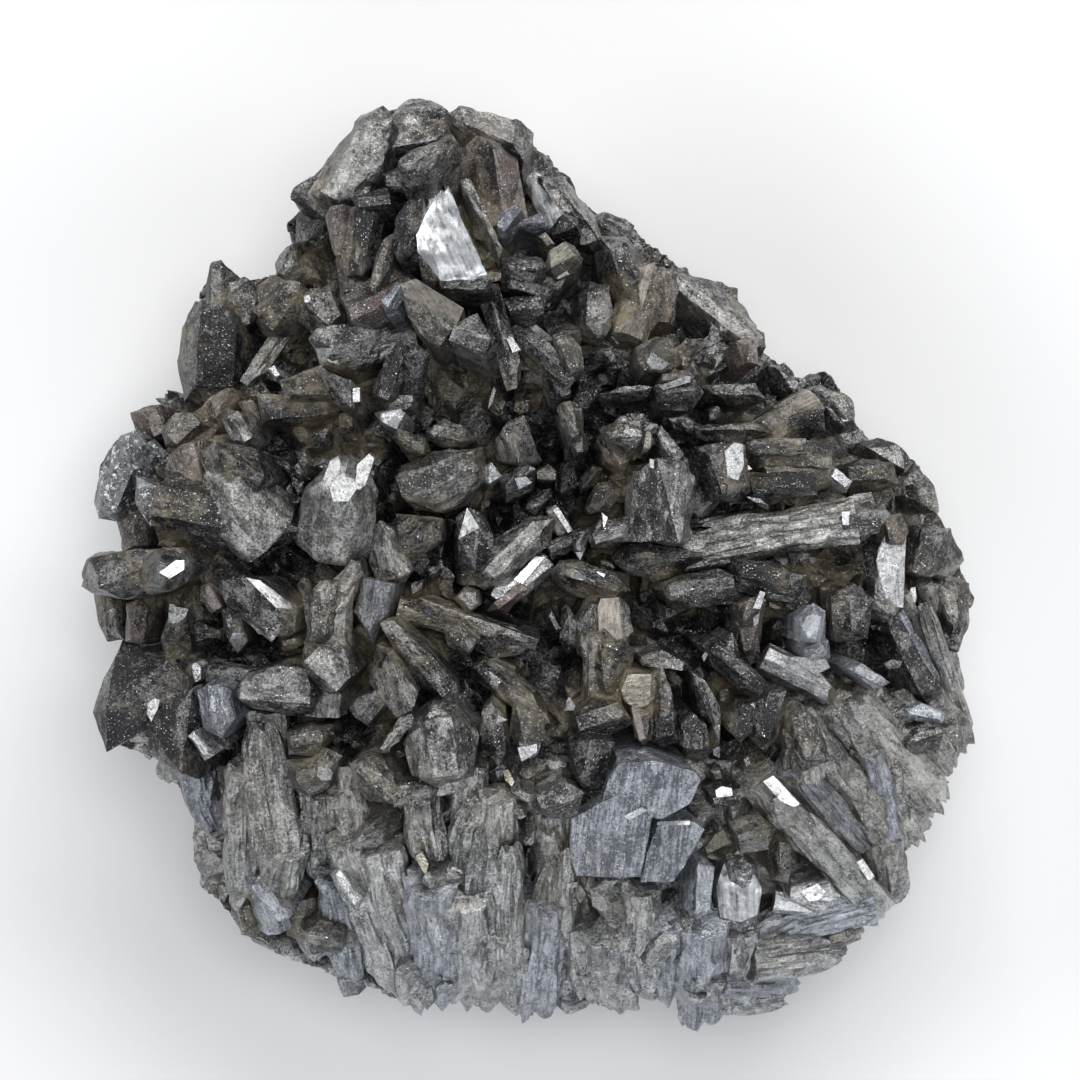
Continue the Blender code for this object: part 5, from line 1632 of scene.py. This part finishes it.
def share_out(x, y):
    """How far out a place is: 0 at the origin and 1 at the rim."""
    rim, _ = wall_hit(math.atan2(y, x), 12.0 * MM)
    return math.hypot(x, y) / math.hypot(rim.x, rim.y)


def broken_zone(x, y):
    """True in the lower part, where the crystals are broken to fibrous columns."""
    return y < -20.0 * MM or (y < -12.0 * MM and x > 24.0 * MM) or (
        y < -14.0 * MM and x < -26.0 * MM)


def druse():
    """Seeded small crystals in the gaps between the drawn ones."""
    rng = np.random.default_rng(SEED)
    dark = Heap("dark_druse", "dark_crystal")
    grey = Heap("grey_druse", "grey_fibres")
    tree = tree_of(BUILT[1:])
    ends = ("chisel", "slant", "dome", "broken", "chisel", "point")
    for row in np.arange(-47, 47, DRUSE_PITCH):
        for column in np.arange(-46, 46, DRUSE_PITCH):
            shift = rng.uniform(-0.45, 0.45, 2) * DRUSE_PITCH
            x, y = (np.array([column, row]) + shift) * MM
            draws = rng.random(9)
            place, normal, _, _ = mass_tree.ray_cast(Vector((x, y, SKY)), DOWN)
            if place is None:
                continue
            above, _, _, _ = tree.ray_cast(Vector((x, y, SKY)), DOWN)
            if above is not None and above.z > place.z + 0.6 * MM:
                continue
            low = broken_zone(x, y)
            out = share_out(x, y)
            outward = (place - FOCUS).normalized()
            swing = 2 * math.pi * draws[0]
            sideways = Vector((math.cos(swing), math.sin(swing), 0.1))
            axis = normal * 0.5 + outward * 0.5 + sideways * (0.4 + 0.7 * draws[1])
            axis.normalize()
            width = (1.8 + 2.0 * draws[2] ** 1.4) * MM
            length = (0.4 + 0.7 * draws[3]) * width + 3.2 * MM
            if out > 0.86:
                length *= 0.75
                axis = (axis - outward * 0.45).normalized()
            root = place - normal * (1.0 if low else 2.2) * MM - axis * 3.0 * MM
            heap = grey if low else dark
            crystal(
                heap, standing(root, axis), length, width, width * (0.6 + 0.35 * draws[4]),
                ends[int(draws[5] * 6)], int(draws[6] * 10 ** 6), 0.5 * draws[7])
    BUILT.append(dark.build([coats["dark_crystal"], silver]))
    BUILT.append(grey.build([coats["grey_fibres"], silver]))


druse()

# ---------------------------------------------------------------- fibrous splinters of the rim


def rim_splinters():
    """Columns up the undercut wall, with torn ends that make the rim ragged."""
    heap = Heap("rim_splinters", "grey_fibres")
    rng = np.random.default_rng(SEED + 1)
    for turn in range(RIM_COUNT):
        azimuth = 2 * math.pi * (turn + rng.uniform(-0.3, 0.3)) / RIM_COUNT
        draws = rng.random(6)
        low, _ = wall_hit(azimuth, (1.0 + 5.0 * draws[0]) * MM)
        high, normal = wall_hit(azimuth, (10.0 + 3.0 * draws[1]) * MM)
        axis = high - low
        inward = normal * (0.6 + 0.5 * draws[2]) * MM
        length = axis.length * (1.15 + 0.25 * draws[3])
        splinter(heap, standing(low - inward, axis, normal), length,
                 (2.4 + 2.6 * draws[4]) * MM, (1.8 + 1.2 * draws[5]) * MM,
                 SEED + 3000 + turn, 0.25 + 0.3 * draws[2], spread=1.15, rise=1.3)
    BUILT.append(heap.build([coats["grey_fibres"], silver], smooth=True))


rim_splinters()
chips()

# ---------------------------------------------------------------- floor, light, camera


def floor():
    mesh = bpy.data.meshes.new("floor")
    side = 1.2
    mesh.from_pydata(
        [(-side, -side, 0), (side, -side, 0), (side, side, 0), (-side, side, 0)], [],
        [(0, 1, 2, 3)])
    make = Recipe("pale_floor")
    place = make.node("ShaderNodeTexCoord").outputs["Object"]
    mottle = make.noise(place, 9.0, 2.0)
    make.link(make.mix(mottle, rgb(0.64, 0.645, 0.655), rgb(0.67, 0.675, 0.685)), "Base Color")
    make.shader.inputs["Roughness"].default_value = 0.9
    make.shader.inputs["Specular IOR Level"].default_value = 0.1
    mesh.materials.append(make.material)
    sheet = bpy.data.objects.new("floor", mesh)
    bpy.context.scene.collection.objects.link(sheet)


def softbox(name, place, size, power, colour=(1.0, 1.0, 1.0)):
    light = bpy.data.lights.new(name, "AREA")
    light.shape = "RECTANGLE"
    light.size, light.size_y = size
    light.energy = power
    light.color = colour
    lamp = bpy.data.objects.new(name, light)
    bpy.context.scene.collection.objects.link(lamp)
    lamp.location = place
    aim = Vector((0.0, 0.0, 0.01)) - Vector(place)
    lamp.rotation_euler = aim.to_track_quat("-Z", "Y").to_euler()


def studio():
    world = bpy.data.worlds.new("studio")
    world.use_nodes = True
    world.node_tree.nodes["Background"].inputs["Color"].default_value = (0.93, 0.95, 1.0, 1.0)
    world.node_tree.nodes["Background"].inputs["Strength"].default_value = 0.14
    bpy.context.scene.world = world
    softbox("key", (0.16, 0.62, 0.60), (0.70, 0.50), 7.6, (1.0, 0.985, 0.96))
    softbox("overhead", (0.10, 0.10, 1.50), (0.60, 0.60), 8.0)
    softbox("left", (-0.70, 0.10, 0.42), (0.45, 0.45), 3.0)
    softbox("right", (0.72, 0.05, 0.40), (0.45, 0.45), 2.0)
    softbox("front", (0.0, -0.75, 0.40), (0.80, 0.40), 4.2, (0.94, 0.97, 1.0))
    bpy.context.scene.view_settings.view_transform = "Standard"
    cycles = bpy.context.scene.cycles
    cycles.max_bounces, cycles.diffuse_bounces, cycles.glossy_bounces = 4, 2, 3


def camera():
    """Looks straight down on the crystals, 108 mm across at their middle height."""
    lens = bpy.data.cameras.new("camera")
    eye = bpy.data.objects.new("camera", lens)
    bpy.context.scene.collection.objects.link(eye)
    centre_x, centre_y = at(540, 540)
    distance = 0.90
    height = 0.024
    lens.sensor_width = 36.0
    lens.lens = 36.0 * distance / 0.108
    lens.clip_start = 0.05
    lens.clip_end = 10.0
    eye.location = (centre_x, centre_y, height + distance)
    bpy.context.scene.camera = eye


floor()
studio()
camera()
